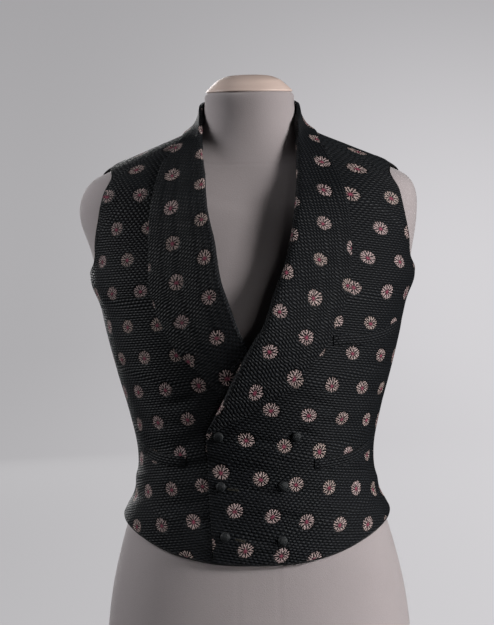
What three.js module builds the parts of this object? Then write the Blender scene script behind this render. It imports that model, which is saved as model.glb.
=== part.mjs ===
// A double-breasted shawl-collar waistcoat, worn by a limbless dress form.
// Millimetres, +Z up, front towards -Y, origin at the centre of the form's flat base.
import * as THREE from "three";

// Driving dimensions
const WALL = 1.6; // one layer of the cloth
const COLLAR_WALL = 1.8;
const FORM_GAP = 1.6; // between the form and the innermost cloth
const LAYER_GAP = 0.7; // between two layers that lie on each other
const COLLAR_GAP = 1; // between the collar and what it lies on
const SEAM_GAP = 0.3; // between two pieces that meet edge to edge
const SIDE_SEAM_ANGLE = 101;
const SHOULDER_SEAM_ANGLE = 94;
const NECK_POINT_Z = 712;
const ROLL_AT_SHOULDER_Z = 727;
const SHOULDER_TIP_Z = 662;
const ROLL_INSET = 3.6; // from the roll line to the edge of the front beneath it
const ROLL_HEIGHT = 4.2; // how far the rolled edge of a lapel stands up
const NECK_ROLL_SHARE = 0.2; // share of that height at the back of the neck
const ROLL_FULL_WIDTH = 45; // width of lapel at which it stands up fully
const COLLAR_SPRING = 1.5; // how far the collar bridges the hollow at the side of the neck
const WELT_HALF_HEIGHT = 6;
const WELT_GAP = 0.6; // between a pocket welt and its front
const BUTTON_RADIUS = 6;
const NECK_CAP_HEIGHT = 21.5;
const FORM_SHIFT_X = 3.5; // these bring the middle of the whole to x = 0 and y = 0
const FORM_SHIFT_Y = 10.3;

// How finely each piece is divided. Columns: across, up
const FRONT_GRID = [16, 40];
const BACK_GRID = [12, 25];
const STAND_GRID = [12, 2];
const WELT_GRID = [10, 1];
const COLLAR_STEPS = 42;
const FORM_SEGMENTS = 48;
const BUTTON_SIDES = 14;
const BISECTIONS = 26;
const ANGLE_STEP = 0.5; // for a normal, to either side
const ROW_STEP = 0.05;

// Sections of the dress form, from its base to the top of its neck. Each is a ring whose height is
// given at its side, front and back, because the upper rings rise over the shoulders.
// Columns: zSide, zFront, zBack, half width, ySide, yFront, yBack, squareness
const SECTIONS = [
  [0, 0, 0, 188, 4, -112, 118, 2.3],
  [60, 60, 60, 190.5, 4, -112, 120, 2.3],
  [130, 130, 130, 182.5, 4, -108, 114, 2.3],
  [200, 200, 200, 165.5, 4, -104, 103, 2.3],
  [250, 250, 250, 148.5, 3, -101, 91, 2.3],
  [300, 300, 300, 144, 2, -99, 83, 2.3],
  [350, 350, 350, 153.5, 2, -101, 86, 2.3],
  [400, 400, 400, 167.5, 2, -104, 94, 2.3],
  [450, 450, 452, 180, 3, -106, 102, 2.3],
  [500, 495, 505, 190, 4, -105, 109, 2.3],
  [545, 527, 545, 199, 5, -101, 113, 2.3],
  [587, 553, 580, 206, 6, -96, 112, 2.3],
  [618, 576, 605, 206, 7, -91, 107, 2.35],
  [638, 594, 621, 196, 8, -86, 101, 2.4],
  [652, 611, 638, 171, 8, -79, 93, 2.4],
  [673, 632, 658, 122, 7, -71, 82, 2.4],
  [694, 657, 682, 76, 5, -63, 70, 2.2],
  [711, 682, 703, 60, 3, -57, 62, 2.1],
  [728, 708, 723, 56, 2, -54, 58, 2.1],
  [741, 738, 740, 55.5, 1, -54, 57, 2.1],
  [746, 746, 746, 52, 1, -51, 54, 2.1],
];
const TOP_ROW = SECTIONS.length - 1;

// Where the cloth stands away from the form, as soft swells on both of its sides
// Columns: angle from the front, height, spread of angle, spread of height, amount
const EASE = [
  [0, 478, 46, 100, 21],
  [30, 585, 24, 62, 11],
  [58, 676, 24, 34, 5],
  [92, 514, 30, 20, 6],
  [88, 222, 32, 24, 5],
  [0, 190, 70, 50, 2],
  [180, 320, 60, 80, 5],
  [180, 225, 60, 40, 3],
  [122, 648, 34, 42, 5.4],
];

// Columns: angle, height, spread of angle, spread of height, amount
const RIGHT_SHOULDER = [-90.5, 598, 10.2, 33, 8];

// The largest drag folds, as soft ridges; those of the front lie between the rows of buttons
// Columns: angle, height, spread of angle, spread of height, drop for each degree, amount
const FOLDS = [
  [4, 300, 30, 13, -0.1, 3],
  [10, 238, 34, 11, -0.15, 2.6],
  [2, 189, 28, 10, -0.1, 2],
  [36, 392, 20, 12, 0.35, 2.4],
  [50, 350, 18, 11, 0.2, 2.2],
  [-48, 352, 18, 12, -0.3, 2.2],
  [-58, 268, 16, 10, 0.1, 1.8],
  [82, 262, 12, 9, 0, 2],
  [-84, 268, 12, 9, 0, 1.8],
  [150, 300, 26, 12, 0.1, 2.4],
  [-152, 286, 24, 11, 0.1, 2.2],
  [172, 262, 26, 10, 0, 1.8],
];

// Sewing lines, as they lie on the worn garment
// Columns: x, z, from the hem up to the foot of the lapel
const CLOSING_EDGE_OVER = [
  [-52.5, 171],
  [-55, 211],
  [-57.5, 270],
  [-58.5, 329],
];
const CLOSING_EDGE_UNDER = [
  [53, 172],
  [55, 211],
  [57, 270],
  [58, 328],
];
// Columns: angle, z
const HEM_OF_FRONT = [
  [0, 168.5],
  [20, 169.5],
  [34, 174],
  [47, 182],
  [60, 195.5],
  [75, 213.5],
  [88, 225],
  [SIDE_SEAM_ANGLE, 230],
];
const HEM_OF_BACK = [
  [SIDE_SEAM_ANGLE, 230],
  [125, 228],
  [152, 223],
  [180, 221],
];
// Columns: angle, z
const SIDE_SEAM = [
  [SIDE_SEAM_ANGLE, 230],
  [SIDE_SEAM_ANGLE, 322],
  [SIDE_SEAM_ANGLE, 414],
  [SIDE_SEAM_ANGLE, 506],
];
const FRONT_ARMHOLE = [
  [SIDE_SEAM_ANGLE, 506],
  [90, 520],
  [80.5, 537],
  [77.5, 562],
  [74.2, 590],
  [72, 620],
  [73, 643],
  [SHOULDER_SEAM_ANGLE, SHOULDER_TIP_Z],
];
const BACK_ARMHOLE = [
  [SIDE_SEAM_ANGLE, 506],
  [104, 522],
  [107.5, 550],
  [109.5, 586],
  [106.5, 624],
  [SHOULDER_SEAM_ANGLE, SHOULDER_TIP_Z],
];
// How late the back's rows take up the slope of its shoulder
const BACK_TOP_FADE = 2.5;
const BACK_NECKLINE = [
  [180, 708],
  [150, 708.5],
  [120, 710],
  [SHOULDER_SEAM_ANGLE, NECK_POINT_Z],
];
// Share of each panel's height that lies below the foot of the lapel, and below the armhole
const LAPEL_LEVEL = 0.3;
const ARMHOLE_LEVEL = 0.6;
// Share of the back's top edge that is its neckline
const NECKLINE_SHARE = 0.5;

// The top of the collar's stand. Columns: angle, z
const STAND_TOP = [
  [180, 738],
  [150, 736.5],
  [120, 732.5],
  [SHOULDER_SEAM_ANGLE, ROLL_AT_SHOULDER_Z],
];
const STAND_SEAM_SHARE = 0.015; // share of the stand's height that is left open at its seam

// The collar from the centre of the back to the side of the neck, alike on both sides
// Columns: angle and z of the roll line, angle and z of the outer edge
const COLLAR_AT_NECK = [
  [180, 742, 180, 694],
  [152, 741, 152, 694],
  [128, 738.5, 130, 696],
  [108, 735, 111, 700],
  [92, 730.5, 96, 703],
  [76, 721, 85, 697],
];
// The lapels, from there down. Columns: x and z of the roll line, x and z of the outer edge
const LAPEL_OVER = [
  [54.5, 707, 82.5, 684],
  [55.3, 692, 92, 668],
  [55.8, 677, 100, 655],
  [55.4, 653, 107, 641],
  [54.9, 629, 112.5, 625],
  [51.9, 601, 117, 596],
  [46, 566, 119, 560],
  [37, 532, 117.5, 524],
  [24, 500, 113, 496],
  [12, 465, 98, 460],
  [-1, 444, 84.5, 436],
  [-13, 423, 68, 417],
  [-26.4, 397, 41.3, 385.5],
  [-38, 372, 14, 369.5],
  [-49, 350, -22, 348],
  [-57.7, 333, -54, 332],
];
const LAPEL_UNDER = [
  [-57, 707, -84, 686],
  [-59, 690, -97, 670],
  [-58.3, 675, -106, 660],
  [-57, 655, -113, 642],
  [-55.4, 636, -118, 625],
  [-51.3, 592, -123, 592],
  [-45.4, 565.6, -124.5, 560],
  [-39.2, 521, -124.3, 515],
  [-30.4, 492, -119, 487],
  [-18.8, 457.6, -104, 451],
  [-8, 436, -90, 428],
  [4, 415, -70, 408],
  [18, 393, -46, 383],
  [34, 366, -12, 361],
  [47, 345, 24, 342],
  [56.5, 332, 53, 331],
];
// The section of the collar, from its rolled edge to its outer edge
// Columns: place of the outer face, place of the inner face, share of the roll's height
const COLLAR_SECTION = [
  [0, 0.03, 0],
  [0.03, 0.045, 0.6],
  [0.08, 0.09, 1],
  [0.18, 0.18, 0.9],
  [0.36, 0.36, 0.5],
  [0.58, 0.58, 0.22],
  [0.8, 0.8, 0.06],
  [1, 1, 0],
];

// Shares of the collar's length, from the centre of the back, over which it changes
const SPRING_FADES = [0.12, 0.3];
const ROLL_GROWS = [0.16, 0.42];
const UNDER_ROLL_FLATTENS = [0.6, 0.72]; // where the left front covers the right lapel
const ROLL_START_WIDTH = 5; // width of lapel at which its edge begins to stand up
const HOOK_SHARE = 0.5; // how far the rolled edge turns down, as a share of the wall

// Where the left front comes down from the layers that it laps over. Columns: from, to
const FRONT_LAP_X = [60, 135];
const FRONT_LAP_Z = [440, 570];
const LAPEL_LAP_X = [60, 130];
const LAPEL_LAP_FOOT_Z = [280, 322];
const LAPEL_LAP_TOP_Z = [435, 550];
const LAPEL_LAP_GAP = 1.2;

// The middle line of each pocket welt. Columns: x, z
const WELT_BREAST = [
  [95, 441],
  [110, 442],
  [132, 440.5],
  [152, 444],
  [167, 449],
  [178, 455],
];
const WELT_WAIST_OVER = [
  [70, 290.5],
  [84, 290],
  [102, 292],
  [119, 296],
  [131, 302],
  [139.5, 308],
];
const WELT_WAIST_UNDER = [
  [-87, 295],
  [-102, 295.5],
  [-118, 298],
  [-130, 302.5],
  [-139, 308],
];

// The centres of the buttons: the fastened row near the closing edge, and the row across from it
// Columns: x, z
const BUTTONS_EDGE = [
  [-44, 327],
  [-43, 264],
  [-39, 203],
];
const BUTTONS_FAR = [
  [48, 325],
  [32, 264],
  [30, 197],
];

// Profile of a covered button. Columns: share of its radius, height
const BUTTON_PROFILE = [
  [0.82, 0],
  [1, 1],
  [0.97, 2.2],
  [0.78, 3.3],
  [0.42, 4],
];
// Profile of the neck cap. Columns: share of the neck's top section, share of the cap's height
const CAP_PROFILE = [
  [1.02, 0],
  [1.035, 0.07],
  [0.98, 0.21],
  [0.89, 0.42],
  [0.77, 0.67],
  [0.66, 0.81],
  [0.5, 0.94],
  [0.26, 1],
];

const CLOTH = new THREE.MeshStandardMaterial({ color: 0x1a1e21, roughness: 0.62 });
const BACK_CLOTH = new THREE.MeshStandardMaterial({ color: 0x17181a, roughness: 0.8 });
const FORM_COVER = new THREE.MeshStandardMaterial({ color: 0x8f8683, roughness: 0.95 });
const CAP_WOOD = new THREE.MeshStandardMaterial({ color: 0xd8b7aa, roughness: 0.4 });

const smoothstep = ([low, high], x) => THREE.MathUtils.smoothstep(x, low, high);
const steps = (count) => Array.from({ length: count + 1 }, (_, i) => i / count);
const between = (a, b, share) => a.map((value, c) => value + (b[c] - value) * share);

// A smooth curve through rows of numbers, for a share from 0 to 1 of the way through them
function curveThrough(rows) {
  const last = rows.length - 1;
  const slope = (i, c) => {
    const before = Math.max(i - 1, 0);
    const after = Math.min(i + 1, last);
    return (rows[after][c] - rows[before][c]) / (after - before);
  };
  return (share) => {
    const t = THREE.MathUtils.clamp(share, 0, 1) * last;
    const i = Math.min(Math.floor(t), last - 1);
    const s = t - i;
    return rows[i].map(
      (start, c) =>
        start * (2 * s ** 3 - 3 * s ** 2 + 1) +
        slope(i, c) * (s ** 3 - 2 * s ** 2 + s) +
        rows[i + 1][c] * (3 * s ** 2 - 2 * s ** 3) +
        slope(i + 1, c) * (s ** 3 - s ** 2),
    );
  };
}

const sectionAt = curveThrough(SECTIONS);

// A point of the dress form: angle in degrees from the front, positive to +X, and row of SECTIONS
function formPoint(angle, row) {
  const [zSide, zFront, zBack, half, ySide, yFront, yBack, square] = sectionAt(row / TOP_ROW);
  const across = Math.sin(THREE.MathUtils.degToRad(angle));
  const along = Math.cos(THREE.MathUtils.degToRad(angle));
  const isFront = along > 0;
  const depth = isFront ? ySide - yFront : yBack - ySide;
  const sum = Math.abs(across / half) ** square + Math.abs(along / depth) ** square;
  const reach = sum ** (-1 / square);
  const z = zSide + ((isFront ? zFront : zBack) - zSide) * along ** 2;
  return new THREE.Vector3(reach * across, ySide - reach * along, z);
}

// The outward normal of a surface that is given as point(angle, row)
function normalOf(point, angle, row) {
  const low = Math.max(row - ROW_STEP, 0);
  const high = Math.min(row + ROW_STEP, TOP_ROW);
  const round = point(angle + ANGLE_STEP, row).sub(point(angle - ANGLE_STEP, row));
  const up = point(angle, high).sub(point(angle, low));
  return round.cross(up).normalize();
}

const turned = (from, to) => ((to - from + 540) % 360) - 180;
const bell = (a, b) => Math.exp(-(a ** 2) - b ** 2);
function easeAt(angle, z) {
  const swells = EASE.map(([middle, height, angleSpread, heightSpread, amount]) => {
    const away = Math.min(Math.abs(turned(middle, angle)), Math.abs(turned(-middle, angle)));
    return amount * bell(away / angleSpread, (z - height) / heightSpread);
  });
  const folds = FOLDS.map(([middle, height, angleSpread, heightSpread, drop, amount]) => {
    const away = turned(middle, angle);
    return amount * bell(away / angleSpread, (z - height - drop * away) / heightSpread);
  });
  return [...swells, ...folds].reduce((sum, value) => sum + value, 0);
}

// The inner surface of the innermost cloth
function bodyPoint(angle, row) {
  const point = formPoint(angle, row);
  const out = FORM_GAP + easeAt(angle, point.z);
  return point.addScaledVector(normalOf(formPoint, angle, row), out);
}

// A point of the cloth at a height above that surface, for a place given as angle and row
function clothPoint([angle, row], lift) {
  return bodyPoint(angle, row).addScaledVector(normalOf(bodyPoint, angle, row), lift);
}

function bisect(low, high, isBelow) {
  let bottom = low;
  let top = high;
  for (let i = 0; i < BISECTIONS; i += 1) {
    const middle = (bottom + top) / 2;
    if (isBelow(middle)) bottom = middle;
    else top = middle;
  }
  return (bottom + top) / 2;
}

// The place at an angle and z, the place on the front at an x and z, and one so many mm beside it
const atAngle = (angle, z) => [angle, bisect(0, TOP_ROW, (row) => bodyPoint(angle, row).z < z)];
const atFront = (x, z) =>
  atAngle(bisect(-90, 90, (angle) => bodyPoint(...atAngle(angle, z)).x < x), z);
function beside([angle, row], distance) {
  const { x, y } = bodyPoint(angle, row);
  return [angle + THREE.MathUtils.radToDeg(distance / Math.hypot(x, y)), row];
}

const flip = ([angle, row]) => [-angle, row];
const forSide = (side, curve) => (side > 0 ? curve : (t) => flip(curve(t)));
const joined = (lower, upper, level) => (t) =>
  t < level ? lower(t / level) : upper((t - level) / (1 - level));

// A patch between four sewing lines
function patch({ bottom, top, inner, outer, fade = 1 }) {
  return (u, t) =>
    [0, 1].map((c) => {
      const rise = t ** fade;
      const upright = (1 - rise) * bottom(u)[c] + rise * top(u)[c];
      const level = (1 - u) * inner(t)[c] + u * outer(t)[c];
      const low = (1 - u) * inner(0)[c] + u * outer(0)[c];
      const high = (1 - u) * inner(1)[c] + u * outer(1)[c];
      return upright + level - (1 - rise) * low - rise * high;
    });
}

// A geometry that faces outwards, whichever way round its faces are listed
function solidOf(points, faces) {
  const signed = ([a, b, c]) => points[a].dot(points[b].clone().cross(points[c]));
  const volume = faces.reduce((sum, face) => sum + signed(face), 0);
  const index = faces.flatMap(([a, b, c]) => (volume > 0 ? [a, b, c] : [a, c, b]));
  const geometry = new THREE.BufferGeometry().setFromPoints(points);
  geometry.setIndex(index);
  geometry.computeVertexNormals();
  return geometry;
}

// One closed body through rings of points, shut at both ends by the given triangles
function closedTube(rings, ends) {
  const count = rings[0].length;
  const last = (rings.length - 1) * count;
  const faces = [];
  for (let start = 0; start < last; start += count) {
    for (let j = 0; j < count; j += 1) {
      const a = start + j;
      const b = start + ((j + 1) % count);
      faces.push([a, b, b + count], [a, b + count, a + count]);
    }
  }
  ends.forEach(([a, b, c]) => faces.push([a, c, b], [last + a, last + b, last + c]));
  return solidOf(rings.flat(), faces);
}

// The end of a tube whose ring goes out along one face of a wall and comes back along the other
function wallEnds(count) {
  const ends = [];
  for (let i = 0; i < count / 2 - 1; i += 1) {
    ends.push([i, i + 1, count - 1 - i], [i + 1, count - 2 - i, count - 1 - i]);
  }
  return ends;
}
const discEnds = (count) => Array.from({ length: count - 2 }, (_, i) => [0, i + 1, i + 2]);

// A wall of cloth over a patch. lift is the height of its inner face at a place.
function clothWall(place, [columns, rows], lift, wall) {
  const rings = steps(rows).map((t) => {
    const line = steps(columns).map((u) => place(u, t));
    const outer = line.map((at) => clothPoint(at, lift(at) + wall));
    const inner = line.map((at) => clothPoint(at, lift(at)));
    return [...outer, ...inner.reverse()];
  });
  return closedTube(rings, wallEnds(rings[0].length));
}

// The left front laps over the right front and, higher up, over its lapel as well
function overLift(at) {
  const { x, z } = bodyPoint(...at);
  const onFront = (1 - smoothstep(FRONT_LAP_X, x)) * (1 - smoothstep(FRONT_LAP_Z, z));
  const overLapel = smoothstep(LAPEL_LAP_FOOT_Z, z) * (1 - smoothstep(LAPEL_LAP_TOP_Z, z));
  const onLapel = (1 - smoothstep(LAPEL_LAP_X, x)) * overLapel;
  return (WALL + LAYER_GAP) * onFront + (COLLAR_WALL + LAPEL_LAP_GAP) * onLapel;
}
const noLift = () => 0;

function armholeCurve(seamTop, rows, tip) {
  return curveThrough([seamTop, ...rows.slice(1, -1).map((row) => atAngle(...row)), tip]);
}

// A front on the left side, from its closing edge and roll line to its side seam and armhole.
// On the right side it is turned over.
function frontPatch(side, closingEdge, lapel) {
  const onLeft = (at) => (side > 0 ? at : flip(at));
  const edge = closingEdge.map(([x, z]) => onLeft(atFront(x, z)));
  const rollOnChest = lapel.slice(0, -1).map(([x, z]) => onLeft(atFront(x + ROLL_INSET * side, z)));
  const rollAtNeck = atAngle(COLLAR_AT_NECK[5][0] + 2, COLLAR_AT_NECK[5][1] - ROLL_INSET);
  const neck = beside(atAngle(SHOULDER_SEAM_ANGLE, ROLL_AT_SHOULDER_Z), -SEAM_GAP / 2);
  const tip = beside(atAngle(SHOULDER_SEAM_ANGLE, SHOULDER_TIP_Z), -SEAM_GAP / 2);
  const sideSeam = SIDE_SEAM.map((row) => beside(atAngle(...row), -SEAM_GAP / 2));
  const hem = HEM_OF_FRONT.slice(0, -1).map((row) => atAngle(...row));
  const roll = curveThrough([edge[3], ...rollOnChest.reverse(), rollAtNeck, neck]);
  const outer = joined(
    curveThrough(sideSeam),
    armholeCurve(sideSeam[3], FRONT_ARMHOLE, tip),
    ARMHOLE_LEVEL,
  );
  const left = patch({
    bottom: curveThrough([edge[0], ...hem, sideSeam[0]]),
    top: (u) => between(neck, tip, u),
    inner: joined(curveThrough(edge), roll, LAPEL_LEVEL),
    outer,
  });
  return (u, t) => onLeft(left(u, t));
}

// The left half of the back's neckline, from the centre of the back to the shoulder seam
const necklinePoints = BACK_NECKLINE.map((row) => atAngle(...row));
necklinePoints[0] = beside(necklinePoints[0], -SEAM_GAP / 2);
necklinePoints[3] = beside(necklinePoints[3], SEAM_GAP / 2);
const backNeckline = curveThrough(necklinePoints);

function backPatch(side) {
  const sideSeam = SIDE_SEAM.map((row) => beside(atAngle(...row), SEAM_GAP / 2));
  const tip = beside(atAngle(SHOULDER_SEAM_ANGLE, SHOULDER_TIP_Z), SEAM_GAP / 2);
  const neck = backNeckline(1);
  const hemEnd = beside(atAngle(...HEM_OF_BACK[3]), -SEAM_GAP / 2);
  const neckEnd = backNeckline(0);
  const hem = HEM_OF_BACK.slice(1, -1).map((row) => atAngle(...row));
  const centreRow = (t) => hemEnd[1] + (neckEnd[1] - hemEnd[1]) * t;
  const centre = steps(4).map((t) => beside([180, centreRow(t)], -SEAM_GAP / 2));
  const outer = joined(
    curveThrough(sideSeam),
    armholeCurve(sideSeam[3], BACK_ARMHOLE, tip),
    ARMHOLE_LEVEL,
  );
  const left = patch({
    bottom: curveThrough([hemEnd, ...hem.reverse(), sideSeam[0]]),
    top: joined(backNeckline, (s) => between(neck, tip, s), NECKLINE_SHARE),
    inner: curveThrough(centre),
    outer,
    fade: BACK_TOP_FADE,
  });
  return (u, t) => (side > 0 ? left(u, t) : flip(left(u, t)));
}

// The two edges of a collar half, from the centre of the back to the foot of the lapel
function collarEdges(side, lapel) {
  const rollAtNeck = COLLAR_AT_NECK.map(([angle, z]) => atAngle(angle * side, z));
  const outerAtNeck = COLLAR_AT_NECK.map(([, , angle, z]) => atAngle(angle * side, z));
  rollAtNeck[0] = beside(rollAtNeck[0], (-SEAM_GAP / 2) * side);
  outerAtNeck[0] = beside(outerAtNeck[0], (-SEAM_GAP / 2) * side);
  const roll = curveThrough([...rollAtNeck, ...lapel.map(([x, z]) => atFront(x, z))]);
  const outer = curveThrough([...outerAtNeck, ...lapel.map(([, , x, z]) => atFront(x, z))]);
  return { roll, outer };
}

// A collar half: it rises over the edge of what it is sewn to, rolls over and lies down on it
function collarHalf(side, lapel, under) {
  const { roll, outer } = collarEdges(side, lapel);
  const rings = steps(COLLAR_STEPS).map((t) => {
    const start = roll(t);
    const end = outer(t);
    const width = clothPoint(start, 0).distanceTo(clothPoint(end, 0));
    const full = smoothstep([ROLL_START_WIDTH, ROLL_FULL_WIDTH], width);
    const atNeck = 1 - smoothstep(SPRING_FADES, t);
    const onChest = 1 - (1 - NECK_ROLL_SHARE) * (1 - smoothstep(ROLL_GROWS, t));
    const outerFace = [];
    const innerFace = [];
    COLLAR_SECTION.forEach(([outerShare, innerShare, height], i) => {
      const outerAt = between(start, end, outerShare);
      const innerAt = between(start, end, innerShare);
      const spring = COLLAR_SPRING * atNeck * Math.sin(Math.PI * outerShare);
      const rise = ROLL_HEIGHT * height * full * under.roll(t) * onChest + spring;
      const seat = under.lift(outerAt) + WALL + COLLAR_GAP;
      const low = i === 0 ? full * (WALL + COLLAR_GAP - SEAM_GAP) : 0;
      const hook = i === 0 ? full * COLLAR_WALL * HOOK_SHARE : 0;
      outerFace.push(clothPoint(outerAt, seat + rise + COLLAR_WALL - low - hook));
      innerFace.push(clothPoint(innerAt, under.lift(innerAt) + WALL + COLLAR_GAP + rise - low));
    });
    return [...outerFace, ...innerFace.reverse()];
  });
  return closedTube(rings, wallEnds(rings[0].length));
}

// The stand between the back's neckline and the roll line, from shoulder seam to shoulder seam
function standPatch() {
  const top = curveThrough(STAND_TOP.map((row) => atAngle(...row)));
  return (u, t) => {
    const share = Math.abs(2 * u - 1);
    const [angle, row] = backNeckline(share);
    const high = top(share)[1];
    const low = row + (high - row) * STAND_SEAM_SHARE;
    return [u < 0.5 ? angle : 360 - angle, low + (high - low) * t];
  };
}

// A pocket welt that lies on a front
function weltPatch(line) {
  const middle = curveThrough(line);
  return (u, t) => {
    const [x, z] = middle(u);
    return atFront(x, z + (2 * t - 1) * WELT_HALF_HEIGHT);
  };
}

function buttonGeometry() {
  const rings = BUTTON_PROFILE.map(([share, height]) =>
    Array.from({ length: BUTTON_SIDES }, (_, i) => {
      const turn = (2 * Math.PI * i) / BUTTON_SIDES;
      const radius = share * BUTTON_RADIUS;
      return new THREE.Vector3(radius * Math.cos(turn), radius * Math.sin(turn), height);
    }),
  );
  return closedTube(rings, discEnds(BUTTON_SIDES));
}

const group = new THREE.Group();
group.position.set(FORM_SHIFT_X, FORM_SHIFT_Y, 0);
function add(name, geometry, material) {
  const mesh = new THREE.Mesh(geometry, material);
  mesh.name = name;
  group.add(mesh);
  return mesh;
}

// The form itself is fuller at its right shoulder, in the armhole
function coverPoint(angle, row) {
  const [middle, height, angleSpread, heightSpread, amount] = RIGHT_SHOULDER;
  const point = formPoint(angle, row);
  const away = turned(middle, angle) / angleSpread;
  const out = amount * bell(away, (point.z - height) / heightSpread);
  return out > 0.001 ? point.addScaledVector(normalOf(formPoint, angle, row), out) : point;
}

// Dress form
const ringOf = (row) =>
  Array.from({ length: FORM_SEGMENTS }, (_, i) => coverPoint((360 * i) / FORM_SEGMENTS, row));
const formRings = SECTIONS.map((_, row) => ringOf(row));
add("form_body", closedTube(formRings, discEnds(FORM_SEGMENTS)), FORM_COVER);
const capRings = CAP_PROFILE.map(([share, height]) =>
  ringOf(TOP_ROW).map(
    (p) => new THREE.Vector3(p.x * share, p.y * share, p.z + SEAM_GAP + height * NECK_CAP_HEIGHT),
  ),
);
add("form_neck_cap", closedTube(capRings, discEnds(FORM_SEGMENTS)), CAP_WOOD);

// Fronts and backs
const overFront = frontPatch(1, CLOSING_EDGE_OVER, LAPEL_OVER);
const underFront = frontPatch(-1, CLOSING_EDGE_UNDER, LAPEL_UNDER);
add("front_left", clothWall(overFront, FRONT_GRID, overLift, WALL), CLOTH);
add("front_right", clothWall(underFront, FRONT_GRID, noLift, WALL), CLOTH);
add("back_left", clothWall(backPatch(1), BACK_GRID, noLift, WALL), BACK_CLOTH);
add("back_right", clothWall(backPatch(-1), BACK_GRID, noLift, WALL), BACK_CLOTH);

// Collar: the right half's roll is flat where the left front covers it
const flattening = (t) => 1 - smoothstep(UNDER_ROLL_FLATTENS, t);
add("collar_left", collarHalf(1, LAPEL_OVER, { lift: overLift, roll: () => 1 }), CLOTH);
add("collar_right", collarHalf(-1, LAPEL_UNDER, { lift: noLift, roll: flattening }), CLOTH);
add("collar_stand", clothWall(standPatch(), STAND_GRID, noLift, WALL), CLOTH);

// Pocket welts
const weltOver = (at) => overLift(at) + WALL + WELT_GAP;
const weltUnder = () => WALL + WELT_GAP;
add("welt_breast", clothWall(weltPatch(WELT_BREAST), WELT_GRID, weltOver, WALL), CLOTH);
add("welt_waist_left", clothWall(weltPatch(WELT_WAIST_OVER), WELT_GRID, weltOver, WALL), CLOTH);
add("welt_waist_right", clothWall(weltPatch(WELT_WAIST_UNDER), WELT_GRID, weltUnder, WALL), CLOTH);

// Buttons
function addButton(name, [x, z]) {
  const at = atFront(x, z);
  const normal = normalOf(bodyPoint, ...at);
  const button = add(name, buttonGeometry(), CLOTH);
  button.position.copy(clothPoint(at, overLift(at) + WALL + SEAM_GAP));
  button.quaternion.setFromUnitVectors(new THREE.Vector3(0, 0, 1), normal);
}
BUTTONS_EDGE.forEach((place, i) => addButton(`button_edge_${i + 1}`, place));
BUTTONS_FAR.forEach((place, i) => addButton(`button_far_${i + 1}`, place));

export default group;
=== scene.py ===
"""A double-breasted shawl-collar waistcoat on its limbless dress form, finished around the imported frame.

The geometry is worked out in millimetres, +Z up, front towards -Y, as a place on the body (an angle from
the front in degrees and a row of SECTIONS) and a height above it. Meshes are written in metres.
"""
import math

import bpy
import numpy as np
from mathutils import Matrix, Vector


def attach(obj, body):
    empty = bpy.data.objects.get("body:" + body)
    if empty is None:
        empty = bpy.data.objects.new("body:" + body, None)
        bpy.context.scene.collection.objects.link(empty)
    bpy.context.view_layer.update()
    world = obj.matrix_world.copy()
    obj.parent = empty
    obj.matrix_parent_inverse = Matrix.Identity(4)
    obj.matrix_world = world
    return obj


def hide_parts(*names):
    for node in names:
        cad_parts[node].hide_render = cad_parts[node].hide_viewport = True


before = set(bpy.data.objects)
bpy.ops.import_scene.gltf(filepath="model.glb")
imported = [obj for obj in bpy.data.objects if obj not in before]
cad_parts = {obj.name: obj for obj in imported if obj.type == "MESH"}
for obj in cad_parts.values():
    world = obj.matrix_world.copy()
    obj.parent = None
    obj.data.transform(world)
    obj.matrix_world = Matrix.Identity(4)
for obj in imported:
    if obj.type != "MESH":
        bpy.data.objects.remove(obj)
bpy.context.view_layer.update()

MM = 0.001

# The photograph's camera: distance and height in metres, angles in degrees, place aside in millimetres
CAMERA_DISTANCE = 3.6
CAMERA_HEIGHT = 0.662
CAMERA_PITCH = 3.03
CAMERA_ROLL = 1.09
CAMERA_ASIDE = -7.9
FOCAL_PIXELS = 2880
FRAME_WIDTH = 494
FRAME_PIXELS = 625

# Driving dimensions, as in the frame
WALL = 1.6
COLLAR_WALL = 1.8
FORM_GAP = 1.6
LAYER_GAP = 0.7
COLLAR_GAP = 1.0
SEAM_GAP = 0.3
SIDE_SEAM_ANGLE = 101
SHOULDER_SEAM_ANGLE = 94
NECK_POINT_Z = 712
ROLL_AT_SHOULDER_Z = 727
SHOULDER_TIP_Z = 665
ROLL_INSET = 3.6
ROLL_HEIGHT = 4.2
NECK_ROLL_SHARE = 0.2
ROLL_FULL_WIDTH = 45
COLLAR_SPRING = 1.5
WELT_HALF_HEIGHT = 6
WELT_GAP = 0.6
BUTTON_RADIUS = 6
NECK_CAP_HEIGHT = 21.5
FORM_SHIFT = (3.5, 10.3)
LAPEL_LEVEL = 0.3
ARMHOLE_LEVEL = 0.6
NECKLINE_SHARE = 0.5
STAND_SEAM_SHARE = 0.015

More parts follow.
